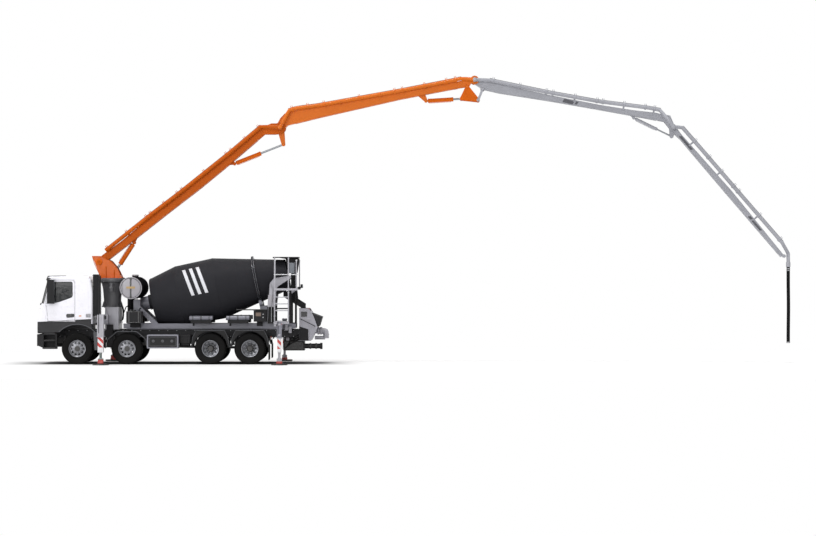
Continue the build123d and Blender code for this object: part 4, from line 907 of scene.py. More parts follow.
# ---- wheels -------------------------------------------------------------------------------------
@dataclass
class Wheels(Assembly):
    """Tyres and dished rims at the eight wheel places, twinned on the rear two axles."""
    twinned: tuple[int, ...] = (3, 4)
    outer_y: float = 1085
    inner_y: float = 740
    holes: int = 10
    lugs: int = 46
    groove_depth: float = 13

    def build(self) -> None:
        """Makes rubber and metal for every wheel place."""
        for axle, x in enumerate(AXLES, 1):
            twin = axle in self.twinned
            for side in SIDES:
                at = (x, 0, TYRE_R)
                rubber = [self.tyre().shifted((0, self.outer_y, 0))]
                metal = [self.rim(twin).shifted((0, self.outer_y, 0))]
                if twin:
                    rubber.append(self.tyre().shifted((0, self.inner_y, 0)))
                    metal.append(self.barrel(-1).shifted((0, self.inner_y, 0)))
                    metal.append(lathe([(815, 60), (815, 276), (835, 276), (835, 60)], ORIGIN, ASIDE, 40,
                                       ring=True))
                body = f"wheel_{axle}_{side}"
                self.put(f"tread_tyre_{axle}", merge(rubber).shifted(at), TYRE_RUBBER, body, side=side,
                         smooth=32, replaces=(f"tyre_{axle}_{side}",))
                self.put(f"dished_rim_{axle}", merge(metal).shifted(at), RIM_SILVER, body, side=side,
                         smooth=38, replaces=(f"rim_{axle}_{side}",))
                outer = (x, self.outer_y, TYRE_R)
                self.put(f"hub_{axle}", self.hub(twin).shifted(outer), HUB_DARK, body, side=side, smooth=38)
                self.put(f"wheel_nuts_{axle}", self.nuts(twin).shifted(outer), ZINC, body, side=side,
                         smooth=30)

    def tyre(self) -> Shape:
        """The tyre on the Y axis: radius(y, angle) is the section's radius less the tread's cuts.

        Returns:
            A closed ring: four grooves run round the tread, slots cut its shoulders at equal turns,
            and the sidewall bulges between two fine raised rings.
        """
        half = [(104, 289), (114, 296), (124, 312), (133, 330), (137, 336), (139, 334), (143, 352),
                (148, 385), (150, 420), (148.5, 450), (146, 466), (147, 470), (143, 484), (137, 499),
                (127, 517), (114, 528), (92, 533), (80, 534.5), (72, 535), (71, 534), (61, 534), (60, 536),
                (42, 537), (30, 537.5), (29, 537), (19, 537), (18, 538), (6, 538)]
        cuts = {19: 1, 20: 1, 24: 1, 25: 1}
        section = np.array(half + [(-y, r) for y, r in half[::-1]], float)
        depth = np.zeros(len(section))
        for index, share in cuts.items():
            depth[[index, len(section) - 1 - index]] = share * self.groove_depth
        step = 2 * math.pi / self.lugs
        turn = (np.arange(self.lugs)[:, None] * step + np.array([0, 0.03, 0.30, 0.33]) * step).ravel()
        slot = np.tile([0, 1, 1, 0], self.lugs)
        shoulder = np.clip((np.abs(section[:, 0]) - 74) / 16, 0, 1) * (section[:, 1] > 492)
        middle = (np.abs(section[:, 0]) < 58) * 0.35
        slant = np.abs(section[:, 0]) / 150 * 0.35 * step
        radius = section[None, :, 1] - depth - slot[:, None] * (shoulder * 13 + middle * 8)[None]
        angle = turn[:, None] + slant[None]
        points = np.stack([radius * np.cos(angle), np.broadcast_to(section[None, :, 0], radius.shape),
                           radius * np.sin(angle)], axis=-1)
        return grid(points, wrap_u=True, wrap_v=True)

    def barrel(self, outward: float) -> Shape:
        """The rim's well and its two rolled flanges, turned about the Y axis."""
        edge = [(-112, 262), (-122, 272), (-128, 288), (-134, 292), (-138, 288), (-136, 274), (-126, 258),
                (-112, 250), (-60, 246), (0, 240), (60, 250), (104, 256), (126, 262), (137, 276), (139, 289),
                (134, 294), (128, 289), (122, 275), (112, 266), (60, 262), (0, 252), (-60, 258)]
        return lathe([(y * -outward, r) for y, r in edge], ORIGIN, ASIDE, 56, ring=True)

    def dish(self, radius: np.ndarray, twin: bool) -> np.ndarray:
        """How far out the disc's face lies at a radius: a straight cone with a rounded foot.

        Args:
            radius: distances from the wheel's axis.
            twin: whether the disc is dished inwards.

        Returns:
            Y of the face at each distance.
        """
        share = np.clip((radius - 122) / (256 - 122), 0, 1)
        bow = np.sin(share * math.pi)
        return (-105 + 42 * share + 10 * bow) if twin else (62 + 26 * (1 - share) - 8 * bow)

    def rim(self, twin: bool) -> Shape:
        """Barrel and disc; the disc's sectors run from each hand hole's oval to the sector's frame.

        Args:
            twin: whether the disc is dished inwards, as on a twinned axle.

        Returns:
            The closed surfaces of one outer rim, the hand holes cut through.
        """
        count, along, aside = self.holes, 6, 4
        low, high = 168, 238
        half = math.pi / count
        top = np.linspace(-half, half, along + 1)[:-1]
        side = np.linspace(high, low, aside + 1)[:-1]
        loop = np.concatenate([np.stack([top, np.full(along, high)], 1),
                               np.stack([np.full(aside, half), side], 1),
                               np.stack([-top, np.full(along, low)], 1),
                               np.stack([np.full(aside, -half), low + high - side], 1)])
        middle = (low + high) / 2
        bearing = np.arctan2(loop[:, 1] - middle, loop[:, 0] * middle)
        oval = np.stack([np.cos(bearing) * 42 / middle, middle + np.sin(bearing) * 29], 1)
        share = np.linspace(0, 1, 4)[:, None, None]
        flat = oval[None] * (1 - share) + loop[None] * share
        shapes = [self.barrel(1)]
        for back in (0, -12):
            sectors = []
            for index in range(count):
                angle = flat[..., 0] + 2 * half * index
                radius = flat[..., 1]
                y = self.dish(radius, twin) + back
                sectors.append(grid(np.stack([radius * np.cos(angle), y, radius * np.sin(angle)], -1),
                                    wrap_v=True))
            shapes += sectors
            turn = (np.arange(count * along) / along * 2 * half - half)[None]
            for radii in (np.array([60, 90, 122, 145, low]), np.array([high, 250, 262])):
                radius = radii[:, None] + 0 * turn
                y = self.dish(radius, twin) + back
                shapes.append(grid(np.stack([radius * np.cos(turn), y, radius * np.sin(turn)], -1),
                                   wrap_v=True))
        for index in range(count):
            angle = oval[:, 0] + 2 * half * index
            wall = np.stack([np.stack([oval[:, 1] * np.cos(angle), self.dish(oval[:, 1], twin) + back,
                                       oval[:, 1] * np.sin(angle)], -1) for back in (0, -12)])
            shapes.append(grid(wall, wrap_v=True))
        return merge(shapes)

    def hub(self, twin: bool) -> Shape:
        """The turned hub and its bolted cap, on the Y axis.

        Args:
            twin: whether the wheel stands on a twinned axle.

        Returns:
            Hub, cap and bolts, centred on the outer wheel.
        """
        if twin:
            profile = [(-110, 0), (-110, 118), (-60, 116), (-40, 108), (10, 100), (30, 92), (34, 74),
                       (38, 72), (40, 0)]
            bolts = ring_of(disc((84, 32, 0), ASIDE, 8, 9, 2, 10), 8, 1, ORIGIN)
        else:
            profile = [(20, 0), (20, 96), (90, 94), (104, 86), (108, 66), (112, 64), (114, 0)]
            bolts = ring_of(disc((76, 104, 0), ASIDE, 7, 8, 2, 10), 6, 1, ORIGIN)
        return merge([lathe(profile, ORIGIN, ASIDE, 40), bolts])

    def nuts(self, twin: bool) -> Shape:
        """Ten wheel nuts with their washers round the hub.

        Args:
            twin: whether the wheel stands on a twinned axle.

        Returns:
            The nuts on the face of the disc.
        """
        y = float(self.dish(np.array(140), twin))
        nut = merge([lathe([(0, 0), (0, 15), (18, 15), (20, 13), (20, 0)], (140, y + 2, 0), ASIDE, 6),
                     disc((140, y - 1, 0), ASIDE, 19, 5, 2, 12),
                     disc((140, y + 18, 0), ASIDE, 8, 14, 2, 10)])
        return ring_of(nut, 10, 1, ORIGIN, 18)


# ---- end hose -----------------------------------------------------------------------------------
@dataclass
class EndHose(Assembly):
    """The rubber hose that hangs from the boom's tip, with its coupling and end ring."""
    x: float = 24495
    top: float = 3331
    bottom: float = 695
    radius: float = 60

    def build(self) -> None:
        """Makes the hanging hose as one curve, and the metal parts on it."""
        data = bpy.data.curves.new("hanging_end_hose", "CURVE")
        data.dimensions = "3D"
        line = data.splines.new("NURBS")
        route = np.array([(self.x, 0, z) for z in (self.top, 3100, 2700, 2300, 1900, 1500, 1100,
                                                     900, self.bottom)])
        route[3:6, 0] += (6, 9, 5)
        line.points.add(len(route) - 1)
        placed = to_row(route)
        line.points.foreach_set("co", np.hstack([placed, np.ones((len(placed), 1))]).ravel())
        line.order_u = 3
        line.use_endpoint_u = True
        line.resolution_u = 8
        data.bevel_depth = self.radius * 0.001 - 0.0002
        data.bevel_resolution = 6
        data.use_fill_caps = True
        data.materials.append(self.maker.paint.material(HOSE_RUBBER))
        hose = bpy.data.objects.new("hanging_end_hose", data)
        bpy.context.scene.collection.objects.link(hose)
        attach(hose, "boom_4")
        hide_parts("end_hose")
        ring = lathe([(0, 56), (0, 64), (34, 64), (36, 62), (36, 56)], (self.x, 0, self.bottom + 4), UP, 32,
                     ring=True)
        bands = [lathe([(0, 58), (0, 65), (22, 65), (24, 63), (24, 58)], (self.x, 0, z), UP, 32, ring=True)
                 for z in (self.top - 70, self.top - 130)]
        fitted = self.put("end_hose_bands", [ring] + bands, ZINC, "boom_4", slot="chrome", smooth=40)
        LOG.info("hanging_end_hose: %d control points", len(route))


# ---- cab ----------------------------------------------------------------------------------------
@dataclass
class Cab(Assembly):
    """Fittings of the tilting cab: glass corners, windows, mirrors, lamps, grille, seats and trim."""
    body: str = "cab"
    half_width: float = 1245
    front_line: tuple[Pair, ...] = ((-1362, 1100), (-1362, 1452), (-1349, 1500), (-1230, 2067), (-991, 2989))
    window: tuple[Pair, ...] = ((-1000, 2067), (-640, 2110), (-137, 2290), (-137, 2800), (-180, 2840),
                                (-880, 2840))
    mirror_x: Pair = (-990, -760)
    mirror_y: Pair = (1290, 1460)
    mirror_z: Pair = (2085, 2890)
    arch_r: float = 820

    def build(self) -> None:
        """Makes every fitting of the cab and its two doors."""
        self.corner_glass()
        self.front()
        self.arches()
        self.fillers()
        self.flanks()
        self.seats()
        for side in SIDES:
            self.door(side)
            self.mirror(side)
        self.wipers()

    def front_x(self, height: np.ndarray | float) -> np.ndarray:
        """X of the cab's front face at a height."""
        line = np.array(self.front_line)
        return np.interp(height, line[:, 1], line[:, 0])

    def corner_glass(self) -> None:
        """Dark screen corners: front edge, a quarter turn of 70 mm and the side, carried up the slope."""
        height = np.linspace(2085, 2965, 12)
        turn = np.linspace(math.pi, math.pi / 2, 8)
        rows = []
        for proud in (3, 0.2):
            radius = 70 + proud
            ahead = np.concatenate([[-proud], 70 + radius * np.cos(turn), [95]])
            aside = np.concatenate([[1078], 1175 + radius * np.sin(turn), [self.half_width + proud]])
            rows.append((ahead, aside))
        ahead = np.concatenate([rows[0][0], rows[1][0][::-1]])
        aside = np.concatenate([rows[0][1], rows[1][1][::-1]])
        base = self.front_x(height)
        points = np.stack([base[:, None] + ahead[None], np.broadcast_to(aside, (len(height), len(aside))),
                           np.broadcast_to(height[:, None], (len(height), len(aside)))], -1)
        shape = grid(points, wrap_v=True)
        count = len(aside)
        shape.faces += [tuple(range(count))[::-1], tuple(range(len(shape.points) - count, len(shape.points)))]
        self.put("screen_corners", both(shape), GLOSS_BLACK, slot="glass", smooth=50)

    def on_front(self, y: Pair, z: Pair, proud: float, sunk: float = 6, radius: float = 18) -> Shape:
        """A panel that follows the cab's front: an outline of y and z, pushed to the slope.

        Args:
            y: its two sides.
            z: its lower and upper edge.
            proud: how far it stands out.
            sunk: how far it reaches in.
            radius: of its corners.

        Returns:
            The panel on the slope.
        """
        outline = rounded_outline(rectangle(y, z), radius, 4)
        panel = plate(outline, (-proud, sunk), axis=0)
        points = panel.points.copy()
        points[:, 0] += self.front_x(points[:, 2])
        return Shape(points, panel.faces)

    def front(self) -> None:
        """Grille slats, blank panel, lamps and the seams of the front."""
        slats = [self.on_front((-760, 760), (level, level + 34), 5, radius=10)
                 for level in np.arange(1530, 1800, 54)]
        self.put("grille_slats", slats, DARK_PLASTIC, bevel=2)
        frame_out = self.on_front((-800, 800), (1496, 1508), 4, radius=5)
        frame_in = self.on_front((-800, 800), (1806, 1818), 5, radius=5)
        panel = self.on_front((-820, 820), (1850, 1990), 4, radius=30)
        self.put("front_panel_trim", [frame_out, frame_in, panel], CAB_WHITE, bevel=2)
        covers = both(self.on_front((800, 1170), (1150, 1330), 2.6, radius=40))
        self.put("headlamp_bezels", covers, GLOSS_BLACK, bevel=1)
        cowl = self.on_front((-1160, 1160), (2030, 2096), 42, radius=16)
        self.put("screen_cowl", cowl, SEAL_BLACK, bevel=8)
        lens = [self.lamp((y, 1240), 62) for y in (870, 1030)]
        self.put("headlamp_lenses", both(lens), LAMP_CLEAR, smooth=40)
        amber = self.on_front((1110, 1158), (1170, 1310), 3.4, radius=10)
        self.put("turn_lamps", both(amber), LAMP_AMBER, bevel=0.8)
        slots = [self.on_front((-620, 620), (level, level + 30), 2.8, radius=12)
                 for level in (1150, 1210, 1270)]
        self.put("lower_air_slots", slots, GLOSS_BLACK, bevel=1)
        grip = tube([(-1286, 700, 1905), (-1316, 700, 1905), (-1316, 900, 1905), (-1286, 900, 1905)], 9,
                    bend=16)
        self.put("screen_grips", both(grip), DARK_PLASTIC)

    def lamp(self, at: Pair, radius: float) -> Shape:
        """A round lamp with two fine rings, sunk in the cab's front."""
        return lathe([(0, 0), (0, radius), (4.6, radius), (5.4, radius - 3), (4, radius - 8),
                      (5.4, radius - 26), (5.6, 0)], (float(self.front_x(at[1])) + 2.2, at[0], at[1]),
                     (-1, 0, 0), 36)

    def fillers(self) -> None:
        """Dark moulded apron between skirt and bumper, across the front and round its corners."""
        shapes = [slab((-1350, -770), (1215, 1243), (1062, 1106)),
                  slab((-1350, -1330), (440, 1235), (1062, 1106))]
        self.put("skirt_fillers", both(shapes), DARK_PLASTIC, bevel=4)

    def arches(self) -> None:
        """Wheel-arch lips along an arc, and ledges at the foot of the painted shell."""
        turn = np.radians(np.linspace(43.5, 136.5, 40))
        radius = self.arch_r + 16
        path = np.stack([radius * np.cos(turn), np.full(40, self.half_width - 8),
                         TYRE_R + radius * np.sin(turn)], -1)
        self.put("wheel_arch_lips", both(sweep(path, oblong(15, 13)[:, ::-1])), LIP_GREY, bevel=5)
        edge = np.array([(-1330, self.half_width - 1, 1452), (-400, self.half_width - 1, 1502),
                         (522, self.half_width - 1, 1552)])
        self.put("shell_ledges", both(sweep(edge, oblong(5, 9))), DARK_PLASTIC, bevel=2)

    def flanks(self) -> None:
        """The pressed panel and crease behind each door, the roof's gutters, hatch and the back's ribs."""
        y = (self.half_width - 3, self.half_width + 5)
        outline = [(5, 2225), (395, 2225), (360, 2860), (5, 2860)]
        frame_ring = border(outline, 16, (60, 48), y)
        crease = slab((-55, 512), (y[0], y[1] + 2), (2176, 2192))
        lower = slab((-55, 512), y, (1780, 1790))
        gutter = tube([(-930, 1150, 3000), (-400, 1150, 3003), (390, 1150, 3003)], 11)
        self.put("cab_side_pressings", both([frame_ring, crease, lower, gutter]), CAB_WHITE, bevel=2.5)
        hatch = border(rectangle((-420, 180), (-330, 330)), 25, (60, 50), (2998, 3024), axis=2)
        lid = plate(rounded_outline(rectangle((-380, 140), (-290, 290)), 50), (3000, 3018), axis=2)
        ribs = [slab((526, 538), (y0, y0 + 60), (1650, 2380)) for y0 in np.arange(-930, 931, 230)]
        self.put("roof_hatch_and_back_ribs", [hatch, lid] + ribs, CAB_WHITE, bevel=4)
        vents = both(spread(slab((300, 470), (y[0], y[1] + 1), (1610, 1622)),
                            [(0, 0, 26 * n) for n in range(5)]))
        self.put("side_vents", vents, DARK_PLASTIC, bevel=2)
        lamps = both(plate(rounded_outline(rectangle((60, 150), (1640, 1675)), 12),
                           (self.half_width - 2, self.half_width + 8)))
        self.put("side_repeaters", lamps, LAMP_AMBER, bevel=2)

    def door(self, side: str) -> None:
        """Window glass and its rounded frame, crease, handle and lower pressing of one door.

        Args:
            side: left or right.
        """
        body = f"door_{side}"
        y = self.half_width - 2
        self.put("door_glass", plate(inset(self.window, -8), (y - 24, y - 19)), SCREEN_GLASS, body, side=side)
        outer = rounded_outline(inset(self.window, -12), 30)
        inner = rounded_outline(inset(self.window, 10), 80)
        self.put("window_frame", ring_plate(outer, inner, (y - 18, y + 2.5)), CAB_WHITE, body, side=side,
                 bevel=1.5)
        seal = rounded_outline(inset(self.window, 22), 70)
        inner_seal = ring_plate(inner, seal, (y - 22, y - 3))
        rubber = ring_plate(rounded_outline([(-990, 1482), (-80, 1482), (-80, 2775), (-118, 2878),
                                             (-895, 2878), (-1062, 2182)], 30),
                            rounded_outline([(-984, 1488), (-86, 1488), (-86, 2772), (-124, 2872),
                                             (-890, 2872), (-1056, 2182)], 30), (y - 2, y + 0.9))
        self.put("door_seals", [inner_seal, rubber], SEAL_BLACK, body, side=side)
        creases = [slab((-1040, -78), (y - 2, y + 9), (2008, 2020)),
                   slab((-990, -78), (y - 2, y + 7), (1780, 1790))]
        pocket = rectangle((-880, -440), (1560, 1740))
        press = border(pocket, 14, (50, 42), (y - 2, y + 5))
        self.put("door_pressings", [*creases, press], CAB_WHITE, body, side=side, bevel=2.5)
        dish = plate(rounded_outline([(-372, 1594), (-92, 1610), (-92, 1738), (-372, 1728)], 62, 8),
                     (y - 1, y + 4))
        grip = tube([(-340, y + 4, 1672), (-330, y + 24, 1673), (-140, y + 24, 1680), (-126, y + 4, 1681)],
                    15, bend=24)
        lock = disc((-112, y + 3, 1650), ASIDE, 15, 7, 3, 20)
        self.put("door_handle", [dish, grip, lock], GLOSS_BLACK, body, side=side, bevel=3)

    def mirror(self, side: str) -> None:
        """Moulded mirror housing, its arms and its two glasses, which look back.

        Args:
            side: left or right.
        """
        (x0, x1), (y0, y1), (z0, z1) = self.mirror_x, self.mirror_y, self.mirror_z
        shell = slab((x0 - 7, x1 + 7), (y0 - 7, y1 + 7), (z0 - 7, z1 + 7))
        groove = slab((x0 - 10, x1 + 4), (y0 - 10, y1 + 10), (z0 + 238, z0 + 246))
        middle = (x0 + x1) / 2
        arms = [tube([(middle, self.half_width - 6, z), (middle, y0 + 6, z)], 21) for z in (2130, 2830)]
        boots = [lathe([(0, 0), (0, 40), (12, 38), (26, 26), (26, 0)], (middle, self.half_width - 3, z),
                       ASIDE, 24) for z in (2130, 2830)]
        self.put("mirror_housing", [shell, groove] + arms + boots, DARK_PLASTIC, f"door_{side}", side=side,
                 bevel=10, segments=3)
        glasses = [plate(rounded_outline(rectangle((y0 + 14, y1 - 14), (low, high)), 22), (x1 + 5, x1 + 10),
                         axis=0) for low, high in ((z0 + 14, z0 + 226), (z0 + 262, z1 - 16))]
        self.put("mirror_glasses", glasses, MIRROR_GLASS, f"door_{side}", side=side, bevel=1)

    def seats(self) -> None:
        """Two sprung seats in cloth: crowned cushions with piping, and their head rests."""
        for side in SIDES:
            parts = [pillow((-440, 80), (362, 898), (1482, 1732), 0.16),
                     pillow((-22, 132), (362, 898), (1684, 2372), 0.16),
                     pillow((0, 118), (490, 770), (2380, 2570), 0.3)]
            cushion = self.put("seat_cushions", parts, SEAT_CLOTH, side=side, smooth=80)
            turn = np.linspace(0, 2 * math.pi, 40, endpoint=False)
            loop = np.stack([np.cos(turn), np.sin(turn)], -1)
            loop = np.sign(loop) * np.abs(loop) ** 0.3
            seam = np.stack([-180 + 252 * loop[:, 0], 630 + 262 * loop[:, 1], np.full(40, 1690)], -1)
            back = np.stack([np.full(40, -8), 630 + 262 * loop[:, 0], 2028 + 336 * loop[:, 1]], -1)
            piping = [sweep(line, circle(6, 8), loop=True) for line in (seam, back)]
            self.put("seat_piping", piping, SEAL_BLACK, side=side, slot="interior", smooth=60)
        wheel = lathe([(0, 205), (10, 222), (24, 222), (30, 210), (24, 198), (8, 196)], (-800, -630, 2030),
                      (-0.5, 0, -0.87), 40, ring=True)
        spokes = [tube([(-800, -630 - 200, 2018), (-806, -630 + 200, 2018)], 12),
                  tube([(-805, -630, 2016), (-950, -630, 1880)], 28)]
        self.put("steering_wheel", [wheel] + spokes, SEAL_BLACK, slot="interior", smooth=50)

    def wipers(self) -> None:
        """Three wiper arms with their blades, lying on the screen."""
        rise = math.atan2(2989 - 2067, 1230 - 991)
        shapes = []
        for y in (-760, -60, 640):
            def at(along: float, out: float, aside: float) -> Point:
                """A point on the screen from its foot upwards, outwards and sideways."""
                return (-1230 + math.cos(rise) * along - math.sin(rise) * out, aside,
                        2067 + math.sin(rise) * along + math.cos(rise) * out)
            shapes.append(tube([at(46, 14, y), at(90, 22, y + 60), at(300, 16, y + 400)], 7, bend=20,
                               sides=8))
            shapes.append(tube([at(110, 8, y + 90), at(470, 8, y + 640 if y < 500 else y + 420)], 8, sides=8))
            shapes.append(disc(at(46, 4, y), (-math.sin(rise), 0, math.cos(rise)), 20, 20, 5, 16))
        self.put("wipers", shapes, SEAL_BLACK, smooth=50)


# ---- chassis gear -------------------------------------------------------------------------------
@dataclass
class ChassisGear(Assembly):
    """What hangs along the chassis: boxes, tubes, tanks, mudguard lips, steps, shafts and hoses."""
    box_x: Pair = (2391, 3450)
    box_y: float = 1220
    box_z: Pair = (547, 1008)
    tubes_x: tuple[Pair, ...] = ((3792, 4612), (5056, 5875))
    tube_y: float = 820
    tube_z: float = 1580
    tube_r: float = 75
    control_x: Pair = (6012, 6456)
    control_y: float = 900
    control_z: Pair = (1452, 1828)
    oil_x: Pair = (1674, 2186)
    oil_z: Pair = (1418, 1810)
    stack_x: Pair = (540, 700)
    stack_z: Pair = (1657, 3057)

    def build(self) -> None:
        """Makes every fitting along the chassis."""
        self.side_boxes()
        self.side_tubes()
        self.control_boxes()
        self.oil_tanks()
        self.intake_stack()
        self.mudguard_lips()
        self.steps()
        self.running_gear()
        self.battery_boxes()
        self.rear_lamps()

    def side_boxes(self) -> None:
        """Framed dark box with three round turn handles."""
        (x0, x1), (z0, z1), y = self.box_x, self.box_z, self.box_y
        outline = rectangle((x0, x1), (z0, z1))
        rim = border(outline, 40, (12, 10), (y - 4, y + 14))
        ribs = [slab((x0 - 8, x0 + 4), (704, y + 12), (z0 + 4, z1 - 4)),
                slab((x1 - 4, x1 + 8), (704, y + 12), (z0 + 4, z1 - 4)),
                slab((x0 + 20, x1 - 20), (704, y + 10), (z1 - 3, z1 + 9))]
        self.put("side_box_frames", both([rim] + ribs), SUBFRAME_GREY, bevel=4)
        panel = rectangle((x0 + 60, x1 - 60), (z0 + 60, z1 - 60))
        shapes = [ring_plate(rounded_outline(inset(panel, 22), 24), rounded_outline(inset(panel, 34), 18),
                             (y - 2, y + 6))]
        for share in (0.2, 0.5, 0.8):
            at = x0 + (x1 - x0) * share
            shapes.append(disc((at, y, z0 + 250), ASIDE, 52, 9, 4, 28))
            shapes.append(disc((at, y + 7, z0 + 250), ASIDE, 30, 12, 4, 24))
        self.put("side_box_handles", both(shapes), LIP_GREY, bevel=2)

    def side_tubes(self) -> None:
        """Air and water tubes: domed ends, a middle band and two straps each."""
        bodies, bands = [], []
        radius = self.tube_r + 1.2
        for low, high in self.tubes_x:
            length = high - low
            dome = [(-2, 0), (-2, radius - 26), (4, radius - 10), (16, radius - 1), (24, radius)]
            profile = dome + [(length - 24, radius), (length - 16, radius - 1), (length - 4, radius - 10),
                              (length + 2, radius - 26), (length + 2, 0)]
            bodies.append(lathe(profile, (low, self.tube_y, self.tube_z), ALONG, 40))
            for share in (0.16, 0.5, 0.84):
                wide = 26 if share == 0.5 else 15
                at = low + length * share - wide
                bands.append(lathe([(0, radius - 2), (0, radius + 5), (wide * 2, radius + 5),
                                    (wide * 2, radius - 2)], (at, self.tube_y, self.tube_z), ALONG, 40,
                                   ring=True))
                bands.append(slab((at + wide - 10, at + wide + 10), (self.tube_y + 66, self.tube_y + 100),
                                  (self.tube_z - 22, self.tube_z + 22)))
        self.put("side_tube_shells", both(bodies), SUBFRAME_GREY, smooth=40)
        self.put("side_tube_straps", both(bands), LIP_GREY, bevel=2)

    def control_boxes(self) -> None:
        """Control box: framed door, blank panel, two pale buttons, a latch and hinges."""
        (x0, x1), (z0, z1), y = self.control_x, self.control_z, self.control_y
        outline = rectangle((x0 + 8, x1 - 8), (z0 + 8, z1 - 8))
        rim = border(outline, 22, (20, 14), (y - 3, y + 9))
        hood = slab((x0 - 8, x1 + 8), (self.control_y - 330, y + 22), (z1 - 2, z1 + 10))
        latch = merge([disc((x1 - 46, y + 4, (z0 + z1) / 2), ASIDE, 20, 12, 4, 20),
                       slab((x1 - 54, x1 - 38), (y + 14, y + 24), ((z0 + z1) / 2 - 34, (z0 + z1) / 2 + 34))])
        hinges = [slab((x0 + 2, x0 + 26), (y, y + 14), (z - 24, z + 24)) for z in (z0 + 80, z1 - 80)]
        self.put("control_box_doors", both([rim, hood, latch] + hinges), DARK_PLASTIC, bevel=3)
        blank = plate(rounded_outline(rectangle((x0 + 70, x0 + 250), (z0 + 190, z1 - 60)),
                                      10), (y - 2, y + 4))
        self.put("control_box_panels", both(blank), PANEL_BROWN, bevel=1.5)
        buttons = [disc((x1 - 120, y - 1, z0 + 150 + 110 * n), ASIDE, 17, 12, 4, 20) for n in range(2)]
        self.put("control_box_buttons", both(buttons), PALE_PLATE, smooth=40)

    def oil_tanks(self) -> None:
        """Black oil tank with straps, filler cap and return hoses."""
        (x0, x1), (z0, z1) = self.oil_x, self.oil_z
        y = 1200
        straps = [slab((at, at + 44), (640, y + 6), (z0 - 5, z1 + 5)) for at in (x0 + 70, x1 - 114)]
        rim = ring_plate(rounded_outline(rectangle((x0 + 6, x1 - 6), (z0 + 6, z1 - 6)), 40),
                         rounded_outline(rectangle((x0 + 22, x1 - 22), (z0 + 22, z1 - 22)),
                                         30), (y - 3, y + 5))
        caps = [lathe([(0, 0), (0, 48), (24, 48), (28, 60), (44, 60), (50, 52), (50, 0)],
                      (x0 + 256, 980, z1 - 2), UP, 28),
                lathe([(0, 0), (0, 66), (60, 66), (66, 60), (66, 0)], (x0 + 120, 800, z1 - 2), UP, 28)]
        self.put("oil_tank_fittings", both(straps + [rim] + caps), GLOSS_BLACK, bevel=3)
        hoses = [tube([(x0 + 120, 800, z1 + 60), (x0 + 120, 800, z1 + 150), (x0 + 60, 640, z1 + 190),
                       (x0 - 80, 560, z1 + 160), (x0 - 150, 520, z1 - 40)], 17, bend=70),
                 tube([(x1 - 120, 700, z1 - 4), (x1 - 120, 700, z1 + 70), (x1 - 100, 560, z1 + 110),
                       (x1 + 20, 500, z1 + 60), (x1 + 60, 480, z1 - 250)], 15, bend=60)]
        self.put("oil_hoses", both(hoses), HOSE_RUBBER)

    def intake_stack(self) -> None:
        """Air intake behind the cab: louvred head, joints and a fluted neck."""
        (x0, x1), (z0, z1) = self.stack_x, self.stack_z
        louvres = [slab((x0 - 14, x1 + 14), (-1212, -838), (z, z + 16))
                   for z in np.arange(z1 - 420, z1 - 40, 38)]
        joints = [slab((x0 - 8, x1 + 8), (-1207, -843), (z, z + 22)) for z in (z0 + 40, z0 + 420, z0 + 800)]
        hood = plate([(x0 - 20, z1 - 24), (x1 + 40, z1 - 24), (x1 + 24, z1 + 18), (x0 + 10, z1 + 22)],
                     (-1218, -832))
        ribs = [slab((x, x + 10), (-1206, -1196), (z0 + 70, z1 - 440))
                for x in np.arange(x0 + 14, x1 - 10, 26)]
        duct = slab((690, 768), (-1200, -850), (1720, 3030))
        self.put("intake_stack_louvres", louvres + joints + [hood, duct] + ribs, DARK_PLASTIC, bevel=4)

    def mudguard_lips(self) -> None:
        """Raised lips along the outer edges of the mudguards, and the flaps' ribs and chains."""
        shapes = []
        top, reach = 1127, 672
        line = [(-reach, 760), (12 - reach, 850), (-reach / 2, top), (reach / 2, top), (reach - 12, 850),
                (reach, 620)]
        path = bent([(AXLES[1] + x, 1242, z) for x, z in line], 70)
        shapes.append(sweep(path, oblong(11, 9)))
        cheeks = []
        for x in AXLES[2:]:
            turn = np.radians(np.linspace(175, 5, 40))
            arc = np.stack([606 * np.cos(turn), TYRE_R + 606 * np.sin(turn)], -1).tolist()
            edge = [(655, 590), (600, 930), (480, 1165), (-480, 1165), (-600, 930), (-655, 590)]
            cheeks.append(plate([(x + dx, z) for dx, z in arc + edge], (1230, 1243)))
            shapes.append(strip([(x + dx, z) for dx, z in edge], 14, (1120, 1248)))
        shapes.append(plate([(560, 1110), (683, 1110), (683, 490), (600, 490), (575, 800)], (1205, 1245)))
        self.put("mudguard_lips", both(shapes), LIP_GREY, bevel=3)
        self.put("mudguard_cheeks", both(cheeks), SEAL_BLACK)
        ribs = [slab((6534, 6566), (y, y + 14), (170, 640)) for y in (620, 780, 930, 1080, 1210)]
        self.put("mudflap_ribs", both(ribs), TYRE_RUBBER, slot="dark_plastic", bevel=4)
        height = np.linspace(1120, 480, 12)
        forward = 668 + 14 * ((height - 800) / 320) ** 2
        splash = np.stack([forward, np.full(12, 1090), height], -1)
        self.put("front_splash_guards", both(sweep(splash, oblong(7, 148))), DARK_PLASTIC, bevel=3)

